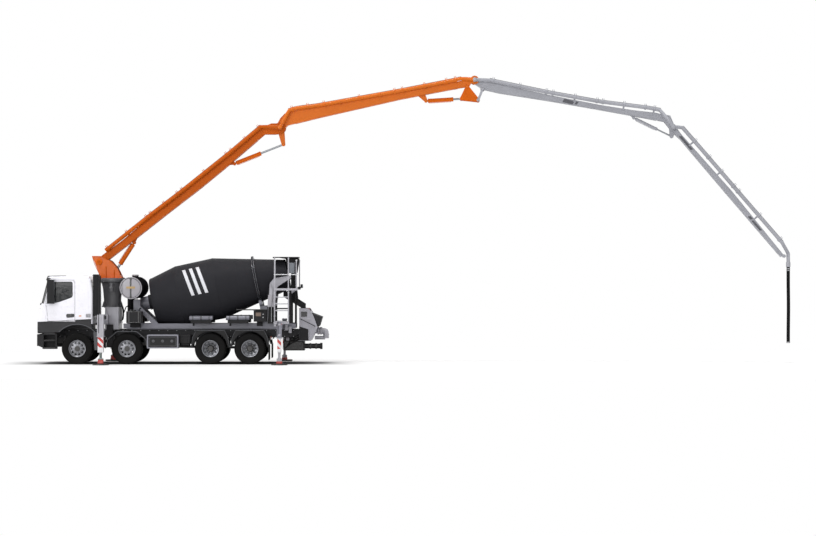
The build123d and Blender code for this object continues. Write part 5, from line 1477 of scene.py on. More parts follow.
    def steps(self) -> None:
        """Toothed treads on the cab's steps, and the corner fairings in front of them."""
        treads, teeth = [], []
        for z in (564, 825, 1045):
            treads.append(slab((-1134, -746), (1004, 1238), (z - 2, z + 7)))
            teeth += [slab((-1120, -760), (y, y + 9), (z + 4, z + 15)) for y in np.arange(1016, 1232, 26)]
        self.put("step_treads", both(treads + teeth), HUB_DARK, slot="dark_plastic", bevel=1.5)
        fairing = [plate([(-1338, 640), (-1146, 560), (-1146, 1040), (-1338, 1028)], (1238, 1248)),
                   slab((-1140, -740), (1238, 1247), (540, 566)),
                   slab((-1140, -740), (1238, 1247), (800, 826)),
                   plate([(-736, 540), (-690, 560), (-690, 1040), (-736, 1040)], (1225, 1246))]
        self.put("step_fairings", both(fairing), DARK_PLASTIC, bevel=4)

    def running_gear(self) -> None:
        """Propeller shaft, spring leaves, air reservoirs and frame bolts seen from below and the side."""
        shaft = [lathe([(0, 0), (0, 70), (16, 70), (20, 44), (1700, 44), (1704, 70), (1720, 70), (1720, 0)],
                       (360, 0, 820), (1, 0, -0.12), 24),
                 lathe([(0, 0), (0, 70), (16, 70), (20, 46), (2030, 46), (2034, 70), (2050, 70), (2050, 0)],
                       (2280, 0, 600), (1, 0, -0.02), 24),
                 lathe([(0, 0), (0, 60), (12, 60), (16, 44), (880, 44), (884, 60), (900, 60), (900, 0)],
                       (4790, 0, 545), ALONG, 24)]
        self.put("propeller_shafts", shaft, IRON, smooth=40)
        leaves = []
        for x in AXLES:
            for n in range(4):
                reach = 540 - 95 * n
                leaves.append(slab((x - reach, x + reach), (436, 508), (626 - 14 * n, 638 - 14 * n)))
            leaves += [slab((x + dx - 9, x + dx + 9), (428, 516), (560, 712)) for dx in (-70, 70)]
        self.put("spring_leaves", both(leaves), IRON, bevel=2)
        tanks = [lathe([(0, 0), (4, 90), (26, 128), (60, 138), (740, 138), (774, 128), (796, 90), (800, 0)],
                       (2560, y, 760), ALONG, 32) for y in (-210, 210)]
        straps = [lathe([(0, 136), (0, 144), (30, 144), (30, 136)], (2560 + dx, y, 760), ALONG, 32, ring=True)
                  for y in (-210, 210) for dx in (170, 600)]
        posts = [slab((2560 + dx + 4, 2560 + dx + 26), (y - 6, y + 6), (890, 970)) for y in (-210, 210)
                 for dx in (170, 600)]
        self.put("air_reservoirs", tanks + straps + posts, CHASSIS_GREY, smooth=40)
        bolt = disc(ORIGIN, ASIDE, 14, 10, 3, 6)
        places = [(x, 424, z) for x in np.arange(-700, 7500, 310) for z in (940, 1140)]
        self.put("frame_bolts", both(spread(bolt, places)), ZINC, slot="chassis_grey", smooth=30)

    def battery_boxes(self) -> None:
        """Ribbed battery box behind the side box, on its bracket."""
        x0, x1 = 3480, 3850
        shapes = [slab((x0, x1), (500, 1000), (720, 960)), slab((x0 - 6, x1 + 6), (494, 1006), (948, 1000)),
                  slab((x0 + 40, x1 - 40), (520, 900), (640, 722)),
                  slab((925, 1150), (425, 640), (560, 1350)), slab((918, 1157), (425, 646), (1300, 1320))]
        shapes += [slab((x, x + 16), (996, 1008), (736, 940)) for x in np.arange(x0 + 30, x1 - 30, 74)]
        self.put("battery_boxes", both(shapes), DARK_PLASTIC, bevel=5)

    def rear_lamps(self) -> None:
        """Tail lamps on a bar behind the last mudguards, with red and amber lenses."""
        bar = both([slab((6586, 6610), (600, 1225), (820, 980)), slab((6500, 6590), (430, 640), (880, 930))])
        self.put("tail_lamp_bars", bar, DARK_PLASTIC, bevel=4)
        red = both([slab((6608, 6622), (660, 860), (840, 960)), slab((6608, 6622), (1030, 1200), (840, 960))])
        self.put("tail_lamps_red", red, LAMP_RED, bevel=5)
        amber = both(slab((6608, 6622), (875, 1015), (840, 960)))
        self.put("tail_lamps_amber", amber, LAMP_AMBER, bevel=5)


# ---- outriggers, column and turret --------------------------------------------------------------
@dataclass
class Outriggers(Assembly):
    """Fittings of the four jacks and the sliding front arms."""
    y: float = 1750
    front_x: float = 874
    rear_x: float = 6938

    def build(self) -> None:
        """Makes feet, collars, hoses and caps of the jacks."""
        for side in SIDES:
            self.jack("front", side, self.front_x, 1690, 220, 960)
            self.jack("rear", side, self.rear_x, 1500, 160, 900)

    def jack(self, end: str, side: str, x: float, top: float, width: float, low: float) -> None:
        """Rubbered pad, webbed foot and rod collars of a jack, and the collar of its housing.

        Args:
            end: front or rear.
            side: left or right.
            x: place along the truck.
            top: top of the housing.
            width: outside width of the housing.
            low: lower end of the housing.
        """
        y = self.y
        foot = [slab((x - 96, x + 96), (y - 96, y + 96), (50.5, 128)),
                slab((x - 70, x + 70), (y - 104, y + 104), (50.5, 100))]
        self.put(f"{end}_foot", foot, FOOT_RED, f"{end}_jack_{side}", side=side, bevel=8)
        pad = [ring_of(slab((x + 236, x + 276), (y - 9, y + 9), (44, 56)), 16, 2, (x, y, 0)),
               lathe([(51, 264), (51, 279), (56, 279), (58, 272), (56, 264)], (x, y, 0), UP, 48, ring=True)]
        self.put(f"{end}_pad", pad, TYRE_RUBBER, f"{end}_jack_{side}", side=side, smooth=40)
        rings = [lathe([(0, 42), (0, 56), (20, 56), (24, 52), (24, 42)], (x, y, z), UP, 28, ring=True)
                 for z in (222, 398)]
        self.put(f"{end}_rod_rings", rings, ZINC, f"{end}_jack_{side}", side=side, slot="chrome", smooth=40)
        half = width / 2
        body = f"front_arm_{side}" if end == "front" else "chassis"
        square = rectangle((x - half, x + half), (y - half, y + half))
        levels = (low + 2,) if end == "front" else (low + 2, top - 32)
        collar = [ring_plate(inset(square, -14), inset(square, 1), (z, z + 26), axis=2) for z in levels]
        cap = plate(inset(square, 2), (top - 4, top + 10), axis=2)
        bolts = spread(disc(ORIGIN, UP, 13, 11, 3, 6),
                       [(x + dx * (half - 24), y + dy * (half - 24), top + 9) for dx in (-1, 1)
                        for dy in (-1, 1)])
        ear = [slab((x - 40, x + 40), (y + half - 2, y + half + 16), (z, z + 60))
               for z in (low + 90, top - 150)]
        self.put(f"{end}_housing_trim", collar + [cap, bolts] + ear, LIGHT_GREY, body, side=side, bevel=3)
        if end == "rear":
            lamp = disc((x + half - 2, y + half - 40, top - 110), ALONG, 24, 16, 5, 20)
            self.put(f"{end}_marker_lamp", lamp, LAMP_RED, body, side=side, smooth=40)
        hose = tube([(x - half * 0.5, y + half + 8, top + 14), (x - half * 0.5, y + half + 8, top - 60),
                     (x - half * 0.5, y + half + 22, (low + top) / 2 + 60),
                     (x - half * 0.5, y + half + 8, low + 120)], 9, bend=40)
        self.put(f"{end}_jack_hose", hose, HOSE_RUBBER, body, side=side)


@dataclass
class Pedestal(Assembly):
    """Column casing, base plates and the slewing turret's ring and ribs."""
    x: float = 1060
    foot_z: float = 1943
    slab_z: Pair = (2811, 2949)

    def build(self) -> None:
        """Makes the column's casing and the turret's fittings."""
        self.casing()
        self.base()
        self.ring()
        self.turret()

    def casing(self) -> None:
        """Flared column casing, its radius growing slowly upwards, with gussets and flanges."""
        z0 = self.foot_z
        profile = [(0, 290), (0, 372), (22, 372), (28, 366), (30, 306), (60, 297), (300, 301), (620, 330),
                   (800, 368), (812, 378), (838, 380), (862, 380), (862, 290)]
        shapes = [lathe(profile, (self.x, 0, z0 + 1), UP, 56, ring=True)]
        gusset = plate([(self.x + 300, z0 + 20), (self.x + 366, z0 + 20), (self.x + 318, z0 + 190),
                        (self.x + 300, z0 + 190)], (-7, 7))
        shapes.append(ring_of(gusset, 10, 2, (self.x, 0, 0), 18))
        shapes.append(ring_of(disc((self.x + 350, 0, z0 + 22), UP, 12, 14, 3, 6), 20, 2, (self.x, 0, 0), 9))
        self.put("column_casing", shapes, COLUMN_DARK, smooth=40)

    def base(self) -> None:
        """Flanges and stiffening ribs round the cross box under the column."""
        shapes = [slab((858, 1344), (-568, 568), (1925, 1945)), slab((1010, 1344), (-568, 568), (1383, 1400))]
        for x in (867, 1335):
            out, foot = (-1, 1692) if x < 1000 else (1, 1400)
            shapes += [slab(sorted((x, x + out * 16)), (y - 7, y + 7), (foot, 1925)) for y in (-420, 0, 420)
                       if x > 1000 or y != 0]
        for sign in (-1, 1):
            shapes += [slab((x - 7, x + 7), sorted((sign * 560, sign * 576)), (1700, 1925))
                       for x in (940, 1100, 1260)]
            rim = ring_plate(rectangle((730, 1018), (1361, 1699)),
                             rectangle((741, 1007), (1372, 1688)), sorted((sign * 985, sign * 998)))
            shapes.append(rim)
        self.put("column_base_ribs", shapes, LIGHT_GREY, bevel=3)
        hoses = [tube([(1340, y, 1480), (1420, y, 1500), (1440, y, 1640), (1440, y, 1860),
                       (1400, y * 0.8, 1990), (1352, y * 0.7, 2080)], 12, bend=70)
                 for y in (-150, -90, -30, 30, 90)]
        self.put("column_hoses", hoses, HOSE_RUBBER)

    def ring(self) -> None:
        """Slewing ring: toothed gear rim under the slab, bolts on top, and the slewing gear housings."""
        z0, z1 = self.slab_z
        tooth = plate([(self.x + 384, -9), (self.x + 404, -5), (self.x + 404, 5), (self.x + 384, 9)],
                      (z0 - 38, z0 - 4), axis=2)
        teeth = ring_of(tooth, 72, 2, (self.x, 0, 0))
        drive = [lathe([(0, 0), (0, 84), (20, 92), (150, 92), (170, 70), (300, 66), (306, 58), (306, 0)],
                       (self.x + 20, sign * 470, z0 - 330), UP, 32) for sign in (-1, 1)]
        self.put("slewing_gear", [teeth] + drive, COLUMN_DARK, smooth=40)
        rim = lathe([(4, 428), (4, 441), (14, 445), (z1 - z0 - 14, 445), (z1 - z0 - 4, 441),
                     (z1 - z0 - 4, 428)], (self.x, 0, z0), UP, 72, ring=True)
        bolts = ring_of(disc((self.x + 408, 0, z1 - 2), UP, 13, 16, 3, 6), 30, 2, (self.x, 0, 0))
        self.put("slewing_slab_rim", [rim, bolts], COLUMN_DARK, "turret", slot="boom_orange", smooth=40)

    def turret(self) -> None:
        """Flanges along the cheeks' edges, pin bosses, ribs, a valve box and hoses."""
        edges = (([(385, 3706), (657, 3706), (1037, 3534), (1244, 3292), (1414, 2938)], 120),
                 ([(385, 3704), (470, 3420), (700, 2938)], 80))
        shapes = []
        for sign in (-1, 1):
            y = sorted((sign * 206, sign * 262))
            shapes += [sweep(bent([(x, sign * 234, z) for x, z in edge], radius), oblong(6, 29))
                       for edge, radius in edges]
            shapes.append(lathe([(0, 58), (0, 118), (16, 118), (24, 106), (24, 58)], (624, sign * 250, 3504),
                                (0, sign, 0), 40, ring=True))
            shapes.append(slab((694, 1422), y, (2938, 2956)))
        self.put("turret_flanges", shapes, BOOM_ORANGE, "turret", bevel=3)
        # The ribs take the boom orange with painted shade, which stands for the shadow lines between the
        # cheeks' panels.
        ribs = []
        for sign in (-1, 1):
            for x, top in ((867, 3350), (1145, 3240)):
                ribs.append(slab((x - 15, x + 15), sorted((sign * 249, sign * 268)), (2956, top)))
        self.put("turret_ribs", ribs, BOOM_PAINTED_SHADE, "turret", bevel=5)
        box = [slab((1180, 1330), (-200, -90), (2960, 3110)), slab((1196, 1314), (-205, -198), (2976, 3094))]
        hoses = [tube([(1060, y, 2948), (1060, y, 3040), (980, y, 3200), (820, y, 3330),
                       (760, y * 1.6, 3430)], 12, bend=90) for y in (-110, -75, 75, 110)]
        self.put("turret_valve_box", box, COLUMN_DARK, "turret", slot="boom_orange", bevel=5)
        self.put("turret_hoses", hoses, HOSE_RUBBER, "turret")


# ---- drum and tank ------------------------------------------------------------------------------
@dataclass
class Drum(Assembly):
    """Fittings of the turning drum: weld bands, hatch, front flange and plain slanted bars."""
    ring_at: Pair = (6070, 2862)
    tilt: float = 11.5
    profile: tuple[Pair, ...] = ((-3645, 785), (-2690, 1045), (-1360, 1065), (0, 758), (723, 597),
                                 (1100, 510))

    def build(self) -> None:
        """Makes everything that turns with the drum, and what carries it."""
        bands = [self.band(s, wide, proud) for s, wide, proud in ((-3600, 22, 7), (-2690, 9, 4),
                                                                  (-1360, 9, 4), (-600, 9, 4), (-62, 26, 6),
                                                                  (40, 26, 6), (723, 12, 5))]
        rim = lathe([(1040, 505), (1040, 533), (1096, 522), (1102, 512), (1098, 500)], ORIGIN, ALONG, 64,
                    ring=True)
        flange = lathe([(-3668, 200), (-3668, 560), (-3650, 566), (-3640, 560), (-3640, 200)], ORIGIN, ALONG,
                       64, ring=True)
        bolts = ring_of(disc((-3668, 300, 0), (-1, 0, 0), 17, 14, 3, 6), 16, 0, ORIGIN)
        self.place("drum_weld_bands", merge(bands + [rim, flange, bolts]), DRUM_BLACK)
        sides = [lathe([(at, 768), (at, 852), (at + 4 * out, 852), (at + 4 * out, 768)], ORIGIN, ALONG, 80,
                       ring=True) for at, out in ((-30.5, -1), (30.5, 1))]
        self.place("roller_ring_faces", merge(sides), RING_STEEL)
        hatch = merge([self.patch((-2300, -1780), 285, 15, 5), self.patch((-2260, -1820), 285, 11, 11)])
        self.place("drum_hatch", hatch, DRUM_BLACK)
        bars = [self.slanted(start, 110, 200, middle, 30) for middle in (25, 155)
                for start in (-2430, -2190, -1950)]
        self.place("drum_slanted_bars", merge(bars), BAR_PALE)

    def place(self, name: str, shape: Shape, finish: Finish) -> None:
        """Tilts a shape drawn round the X axis to the drum's axis and hangs it on the drum."""
        lie = Lie(self.ring_at, self.tilt)
        self.put(name, lie.place(shape), finish, "drum", slot="drum_black", smooth=40)

    def radius(self, along: np.ndarray | float) -> np.ndarray:
        """The drum's outer radius at a distance along its axis, by straight lines between its knots."""
        line = np.array(self.profile, float)
        return np.interp(along, line[:, 0], line[:, 1])

    def band(self, at: float, half: float, proud: float) -> Shape:
        """A raised band that follows the drum's slope, closed against the shell.

        Args:
            at: its middle along the drum.
            half: half its width.
            proud: its height over the shell.

        Returns:
            The closed ring.
        """
        line = np.array([at - half, at - half + proud * 0.6, at + half - proud * 0.6, at + half])
        line = np.maximum(line, self.profile[0][0])
        out = self.radius(line) + np.array([-2, proud, proud, -2])
        return lathe(list(zip(line.tolist(), out.tolist())), ORIGIN, ALONG, 80, ring=True)

    def patch(self, along: Pair, middle: float, half_turn: float, proud: float) -> Shape:
        """A raised plate bent round the drum: radius(s) plus its height, over a span of turns.

        Args:
            along: its two ends along the drum.
            middle: the turn of its middle line in degrees.
            half_turn: how far it reaches to each side in degrees.
            proud: its height.

        Returns:
            The plate, its edges sunk in the shell.
        """
        s = np.linspace(along[0], along[1], 8)
        s = np.concatenate([[s[0]], s, [s[-1]]])
        turn = np.radians(np.linspace(middle - half_turn, middle + half_turn, 12))
        turn = np.concatenate([[turn[0]], turn, [turn[-1]]])
        height = np.full((len(s), len(turn)), proud)
        height[[0, -1], :] = -4
        height[:, [0, -1]] = -4
        radius = self.radius(s)[:, None] + height
        points = np.stack([np.broadcast_to(s[:, None], radius.shape), radius * np.cos(turn)[None],
                           radius * np.sin(turn)[None]], -1)
        return grid(points)

    def slanted(self, start: float, wide: float, lean: float, middle: float, half_turn: float) -> Shape:
        """A painted bar that leans along the drum as it goes round: s = start + wide u + lean v.

        Args:
            start: where it starts along the drum.
            wide: its width along the drum.
            lean: how far it runs along the drum from end to end.
            middle: the turn of its middle in degrees.
            half_turn: how far it reaches to each side in degrees.

        Returns:
            The bar, its edges sunk in the shell.
        """
        v = np.linspace(0, 1, 24)
        u = np.array([0, 0, 0.5, 1, 1])
        turn = np.radians(middle - half_turn + 2 * half_turn * v)
        s = start + wide * u[:, None] + lean * v[None]
        lift = np.array([-1, 1.6, 1.6, 1.6, -1])[:, None] + np.where((v == 0) | (v == 1), -2.6, 0)[None]
        radius = self.radius(s) + lift
        return grid(np.stack([s, radius * np.cos(turn)[None], radius * np.sin(turn)[None]], -1))


@dataclass
class WaterTank(Assembly):
    """Fittings of the round water tank that lies across the truck."""
    centre: Pair = (1817, 2612)
    half: float = 1100

    def build(self) -> None:
        """Makes the tank's end rims, bands, blank plate, cap, gauge and saddles."""
        cx, cz = self.centre
        shapes = []
        for sign in (-1, 1):
            shapes.append(lathe([(-40, 370), (-40, 379), (6, 379), (12, 374), (14, 352), (6, 344), (-2, 344),
                                 (-2, 352)], (cx, sign * self.half, cz), (0, sign, 0), 72, ring=True))
            shapes.append(lathe([(-4, 0), (16, 0), (16, 60), (14, 200), (8, 300), (-4, 345)],
                                (cx, sign * self.half, cz), (0, sign, 0), 72))
            shapes.append(ring_of(disc((cx + 360, sign * (self.half + 9), cz), (0, sign, 0), 8, 7, 2, 8), 24,
                                  1, (cx, 0, cz)))
        cap = [lathe([(0, 0), (0, 128), (10, 128), (14, 116), (40, 114), (48, 100), (50, 0)], (cx, 300, 3018),
                     UP, 36)]
        self.put("water_tank_rims", shapes + cap, TANK_GREY, smooth=38)
        strap = []
        for sign in (-1, 1):
            strap.append(slab((cx - 26, cx + 26), sorted((sign * (self.half + 14), sign * (self.half + 24))),
                              (cz - 352, cz + 352)))
            strap += [slab((cx - 34, cx + 34), sorted((sign * (self.half + 12), sign * (self.half + 30))),
                           (cz + dz - 16, cz + dz + 16)) for dz in (-300, 300)]
            strap.append(slab((1636, 1764), sorted((sign * 426, sign * 524)), (2290, 2312)))
        self.put("water_tank_straps", strap, GLOSS_BLACK, slot="light_grey", bevel=4)
        plates = [plate(rounded_outline(rectangle((cx - 150, cx + 150), (cz - 20, cz + 50)), 12),
                        sorted((sign * (self.half + 20), sign * (self.half + 30)))) for sign in (-1, 1)]
        self.put("water_tank_blank_plates", plates, BRASS_PLATE, bevel=2)
        pipes = [tube([(cx + 60, y, cz - 362), (cx + 60, y, 1980), (cx + 200, y, 1900), (cx + 200, y, 1500),
                       (cx + 160, y, 1392)], 20, bend=80) for y in (-300, 260)]
        gauge = tube([(cx - 300, -1108, cz - 180), (cx - 300, -1128, cz - 180), (cx - 300, -1128, cz + 180),
                      (cx - 300, -1108, cz + 180)], 9, bend=14)
        self.put("water_pipes", pipes + [gauge], ZINC)


# ---- rear end -----------------------------------------------------------------------------------
@dataclass
class RearEnd(Assembly):
    """Ladder, platform, charging hopper, chute and what stands round the drum's mouth."""
    ladder_x: Pair = (6746, 7218)
    ladder_y: float = -1180
    deck_x: Pair = (6730, 7515)
    deck_y: float = -1210
    deck_z: Pair = (2540, 2580)

    def build(self) -> None:
        """Makes every fitting of the rear end."""
        self.ladder()
        self.platform()
        self.hopper()
        self.chute()
        self.stand()

    def ladder(self) -> None:
        """Rung grips, rail caps and brackets of the ladder."""
        shapes = []
        for z in (1460, 1840, 2070, 2300):
            shapes.append(slab((self.ladder_x[0] + 18, self.ladder_x[1] - 18),
                               (self.ladder_y - 22, self.ladder_y + 22), (z + 8, z + 20)))
        for x in self.ladder_x:
            shapes.append(lathe([(0, 0), (0, 26), (12, 26), (20, 18), (22, 0)], (x, self.ladder_y, 3632), UP,
                                20))
            shapes += [lathe([(0, 20), (0, 30), (24, 30), (24, 20)], (x, self.ladder_y, z), UP, 20, ring=True)
                       for z in (1640, 2440, 3060)]
            shapes.append(tube([(x, self.ladder_y, 3060), (x, self.ladder_y, 3040), (x + 4, -1192, 2600)],
                               10))
        self.put("ladder_grips", shapes, ALUMINIUM, bevel=1.5)

    def platform(self) -> None:
        """Open grating in an edge frame, kick boards and rail clamps."""
        (x0, x1), y0, (z0, z1) = self.deck_x, self.deck_y, self.deck_z
        bars = [slab((x, x + 7), (y0 + 8, -526), (z1 - 2, z1 + 14)) for x in np.arange(x0 + 20, x1 - 16, 34)]
        cross = [slab((x0 + 8, x1 - 8), (y, y + 7), (z1 - 2, z1 + 10)) for y in np.arange(y0 + 30, -540, 90)]
        self.put("platform_gratings", both(bars + cross), ALUMINIUM)
        edge = [slab((x0 - 6, x1 + 6), (y0 - 8, y0 + 4), (z0 - 10, z1 + 20)),
                slab((x0 - 8, x0 + 4), (y0, -524), (z0 - 10, z1 + 16)),
                slab((x1 - 4, x1 + 8), (y0, -524), (z0 - 10, z1 + 16))]
        knees = [plate([(x1 - 330, z0 - 2), (x1 - 60, z0 - 2), (x1 - 320, z0 - 210)], (y, y + 12))
                 for y in (-600, -486)]
        self.put("platform_edges", both(edge + knees), LIGHT_GREY, bevel=3)
        rail = tube([(6760, -1190, 3070), (7490, -1190, 3070)], 15)
        balls = [lathe([(-26, 0), (-26, 26), (26, 26), (26, 0)], (x, y, z), UP, 20) for x in (6760, 7490)
                 for y in (-1190, 1190) for z in (3060, 3550)]
        self.put("platform_rail_clamps", [rail] + balls, ALUMINIUM, bevel=2)
        lamp = [slab((7602, 7680), (-560, -430), (2606, 2736)),
                slab((7500, 7610), (-520, -470), (2560, 2650))]
        lens = disc((7678, -495, 2671), ALONG, 50, 14, 5, 28)
        self.put("work_lamp_body", lamp, DARK_PLASTIC, bevel=10)
        self.put("work_lamp_lens", lens, LAMP_CLEAR, smooth=40)

    def hopper(self) -> None:
        """Rolled rim, stiffeners and the knob of the charging hopper."""
        lip = ring_plate(rounded_outline(rectangle((6657, 7531), (-556, 556)), 60),
                         rounded_outline(rectangle((6688, 7500), (-526, 526)), 40), (3648, 3680), axis=2)
        knob = [disc((6640, 0, 3640), UP, 26, 40, 10, 24), slab((6640, 6680), (-14, 14), (3634, 3650))]
        stiff = [tube([(7300 + 222, y, 3604), (7300 + 154, y * 0.66, 3126)], 12, sides=8)
                 for y in (-380, 0, 380)]
        self.put("hopper_rim", [lip] + knob + stiff, HOPPER_BLACK, bevel=4)
        panel = ring_plate(rectangle((7206, 7394), (3116, 3574)), rectangle((7222, 7378), (3132, 3558)),
                           (-366, -352))
        board = slab((7206, 7394), (-362, -354), (3116, 3574))
        self.put("hopper_side_panel", both([panel, board]), PANEL_GREY, bevel=3)

    def chute(self) -> None:
        """Flared lips and ribs of the discharge chute, and the collar round the drum's mouth."""
        lips = [tube([(6996, y, 2520), (7376, y, 2276), (7752, y, 2038)], 18) for y in (-300, 300)]
        ribs = [slab((x, x + 12), (-312, 312), (z - 26, z + 4))
                for x, z in ((7120, 2240), (7380, 2080), (7640, 1912))]
        swing = np.cos(np.linspace(0, math.pi, 24))
        collar = sweep(np.stack([7140 + 60 * swing, 470 * swing, np.full(24, 2330)], -1), circle(12, 8))
        self.put("chute_lips", lips + ribs + [collar], HOPPER_BLACK, bevel=2)

    def stand(self) -> None:
        """Pale infill plates, edge flanges and braces of the drum's rear stand."""
        lower = slab((6474, 6726), (782, 844), (1386, 1960))
        posts = slab((7176, 7294), (476, 604), (1388, 2538))
        sides = plate([(7262, 3116), (7392, 3116), (7440, 2700), (7500, 2120), (7420, 2070), (7080, 2330),
                       (7080, 2480), (7262, 2560)], (296, 304))
        self.put("stand_dark_plates", both([lower, posts, sides]), HOPPER_BLACK, bevel=3)
        face = plate([(6481, 1962), (6700, 1962), (6700, 2372), (6510, 2372)], (834, 845))
        self.put("stand_infill_plates", both(face), TANK_GREY, bevel=2)
        outline = [(6725, 1390), (6725, 2050), (6800, 2640), (7286, 2960)]
        flange = bent([(x, 812, z) for x, z in outline], 80)
        inner = bent([(x, 812, z) for x, z in [(6480, 1390), (6562, 2760), (6702, 2936), (7286, 3036)]], 60)
        self.put("stand_flanges", both([sweep(flange, oblong(5, 36)), sweep(inner, oblong(5, 36))]),
                 LIGHT_GREY, bevel=2.5)
        pipes = [tube([(6620, y, 1440), (6620, y, 2080), (6660, y, 2560), (6600, y, 2740)], 11, bend=60)
                 for y in (-862, -890)]
        wash = [tube([(5400, -770, 1862), (5900, -770, 1862), (6500, -790, 1862)], 20, bend=60),
                tube([(6700, -760, 1900), (7180, -600, 1900), (7186, -540, 1900)], 24, bend=90)]
        self.put("wash_pipes", wash, IRON_DARK, smooth=40)
        self.put("stand_pipes", pipes, ZINC)


@dataclass
class Pump(Assembly):
    """Fittings of the concrete pump: hopper rim, guard, elbow, cylinders, grate and pipework."""
    outlet: Pair = (8350, 600)
    outlet_y: float = -240

    def build(self) -> None:
        """Makes the pump's fittings."""
        self.receiving_hopper()
        self.elbow()
        self.block()

    def receiving_hopper(self) -> None:
        """Rim, corner ribs, recess and grate of the receiving hopper, and its splash rubber."""
        outline = [(7563, 1905), (7890, 1895), (8040, 1660), (8190, 1260), (7960, 789), (7563, 789)]
        rails = []
        for sign in (-1, 1):
            back = bent([(x, sign * 690, z) for x, z in outline[:5]], 40)
            rails.append(sweep(back, oblong(7, 16)))
            rails.append(plate([(7600, 1560), (7986, 1560), (7990, 1532), (7600, 1532)],
                               sorted((sign * 699, sign * 712))))
            rails += [slab((x, x + 14), sorted((sign * 699, sign * 714)), (820, 1530)) for x in (7640, 7900)]
            rails.append(ring_plate(rounded_outline(rectangle((7612, 7852), (1600, 1812)), 20),
                                    rounded_outline(rectangle((7626, 7838), (1614, 1798)), 14),
                                    sorted((sign * 699, sign * 713))))
        rails.append(slab((7556, 7576), (-706, 706), (1888, 1914)))
        self.put("pump_hopper_rails", rails, LIGHT_GREY, bevel=3)
        recess = [plate(rounded_outline(rectangle((7620, 7844), (1608, 1804)), 16),
                        sorted((sign * 699, sign * 704))) for sign in (-1, 1)]
        self.put("pump_hopper_recess", recess, GLOSS_BLACK)
        lower = plate([(7565, 1290), (7875, 1190), (7880, 800), (7565, 800)], (702, 716))
        brace = tube([(7578, 716, 1560), (7860, 722, 1420), (8120, 716, 1290)], 11)
        self.put("pump_hopper_aprons", both([lower, brace]), HOPPER_BLACK, bevel=3)
        valves = [slab((7070, 7170), (560, 700), (1150, 1340)), slab((7200, 7300), (560, 690), (1060, 1280)),
                  slab((7160, 7210), (600, 660), (1180, 1240)), slab((7090, 7150), (690, 716), (1190, 1300))]
        valves += [disc((x, y, z), ASIDE, 22, 26, 5, 16) for x, y, z in ((7120, 714, 1250),
                                                                             (7250, 688, 1120),
                                                                             (7250, 688, 1220))]
        self.put("pump_valve_blocks", both(valves), LIGHT_GREY, bevel=4)
        bars = [tube([(7600, y, 1880), (7880, y, 1872)], 9, sides=8) for y in np.arange(-640, 641, 64)]
        cross = [tube([(x, -672, 1872), (x, 672, 1872)], 9, sides=8) for x in (7660, 7820)]
        self.put("pump_grate", bars + cross, FOOT_RED, smooth=50)
        guard = [(7962, 1742), (8338, 1597), (8242, 1286), (8158, 1286)]
        skin = [plate(inset(guard, -4), between) for between in ((-660, -649), (649, 660))]
        skin += [strip(line, 10, (-658, 658)) for line in ([(7964, 1745), (8336, 1602)],
                                                           [(8339, 1596), (8243, 1288)])]
        skin += [slab((8246, 8262), (y, y + 12), (1310, 1330)) for y in (-500, 0, 500)]
        self.put("splash_rubber", skin, SPLASH_BLACK, bevel=4)

    def elbow(self) -> None:
        """Casing of the outlet elbow with its two bolted collars and ribs."""
        path = bent([(8080, 0, 1120), (8465, 0, 1120), (8465, 0, 860)], 160, 10)
        shapes = [sweep(path, circle(97, 28))]
        for x in (8200, 8290):
            shapes.append(lathe([(-34, 90), (-34, 128), (-28, 133), (28, 133), (34, 128), (34, 90)],
                                (x, 0, 1120), ALONG, 40, ring=True))
            shapes.append(ring_of(disc((x + 32, 112, 1120), ALONG, 11, 12, 2, 6), 10, 0, (0, 0, 1120)))
        for z in (900, 980):
            shapes.append(lathe([(-14, 92), (-14, 108), (14, 108), (14, 92)], (8465, 0, z), UP, 36,
                                ring=True))
        shapes.append(plate([(8330, 1210), (8420, 1212), (8520, 1170), (8556, 1090), (8540, 1070),
                             (8340, 1190)], (-10, 10)))
        shapes.append(sweep(np.array([(8076, 0, 880), (8434, 0, 880)]), circle(63, 24)))
        self.put("outlet_elbow_casing", shapes, LIGHT_GREY, smooth=40)

    def block(self) -> None:
        """Two delivery cylinders with tie rods, valve blocks, hoses and pipes under the hopper."""
        shapes = []
        for y in (-150, 150):
            shapes.append(lathe([(0, 0), (0, 118), (24, 118), (24, 100), (516, 100), (516, 118), (540, 118),
                                 (540, 0)], (7030, y, 850), ALONG, 36))
            shapes += [tube([(7036, y + dy, 850 + dz), (7566, y + dy, 850 + dz)], 9, sides=8)
                       for dy in (-96, 96) for dz in (-50, 50)]
        shapes += [slab((7060, 7110), (-300, 300), (1000, 1160)),
                   slab((7500, 7560), (-330, 330), (1000, 1180))]
        self.put("pump_cylinders", shapes, IRON_DARK, bevel=2)
        blocks = [slab((7050, 7690), sorted((sign * 329, sign * 345)), (480, 750)) for sign in (-1, 1)]
        for sign in (-1, 1):
            blocks += [ring_plate(rectangle((x, x + 170), (500, 730)),
                                  rectangle((x + 18, x + 152), (518, 712)), sorted((sign * 344, sign * 362)))
                       for x in (7070, 7280, 7490)]
            blocks += [disc((x, sign * 343, 610), (0, sign, 0), 34, 18, 4, 20) for x in (7155, 7365, 7575)]
        self.put("pump_block_covers", blocks, IRON_DARK, bevel=4)
        hoses = []
        for n, y in enumerate((-390, -420, -450)):
            z = 520 + 70 * n
            for sign in (1, -1):
                hoses.append(tube([(7080 + 60 * n, -352 * sign, z), (7080 + 60 * n, y * sign, z + 30),
                                   (7250, y * sign, z + 160 + 30 * n), (7560, y * sign, z + 330),
                                   (7600, -352 * sign, z + 400)], 15, bend=80))
        self.put("pump_hoses", hoses, HOSE_RUBBER)
        x, z = self.outlet
        rings = [lathe([(-26, 84), (-26, 98), (-20, 102), (20, 102), (26, 98), (26, 84)],
                       (x - at, self.outlet_y, z), ALONG, 36, ring=True) for at in (220, 420)]
        self.put("outlet_pipe_rings", rings, IRON_DARK, smooth=40)


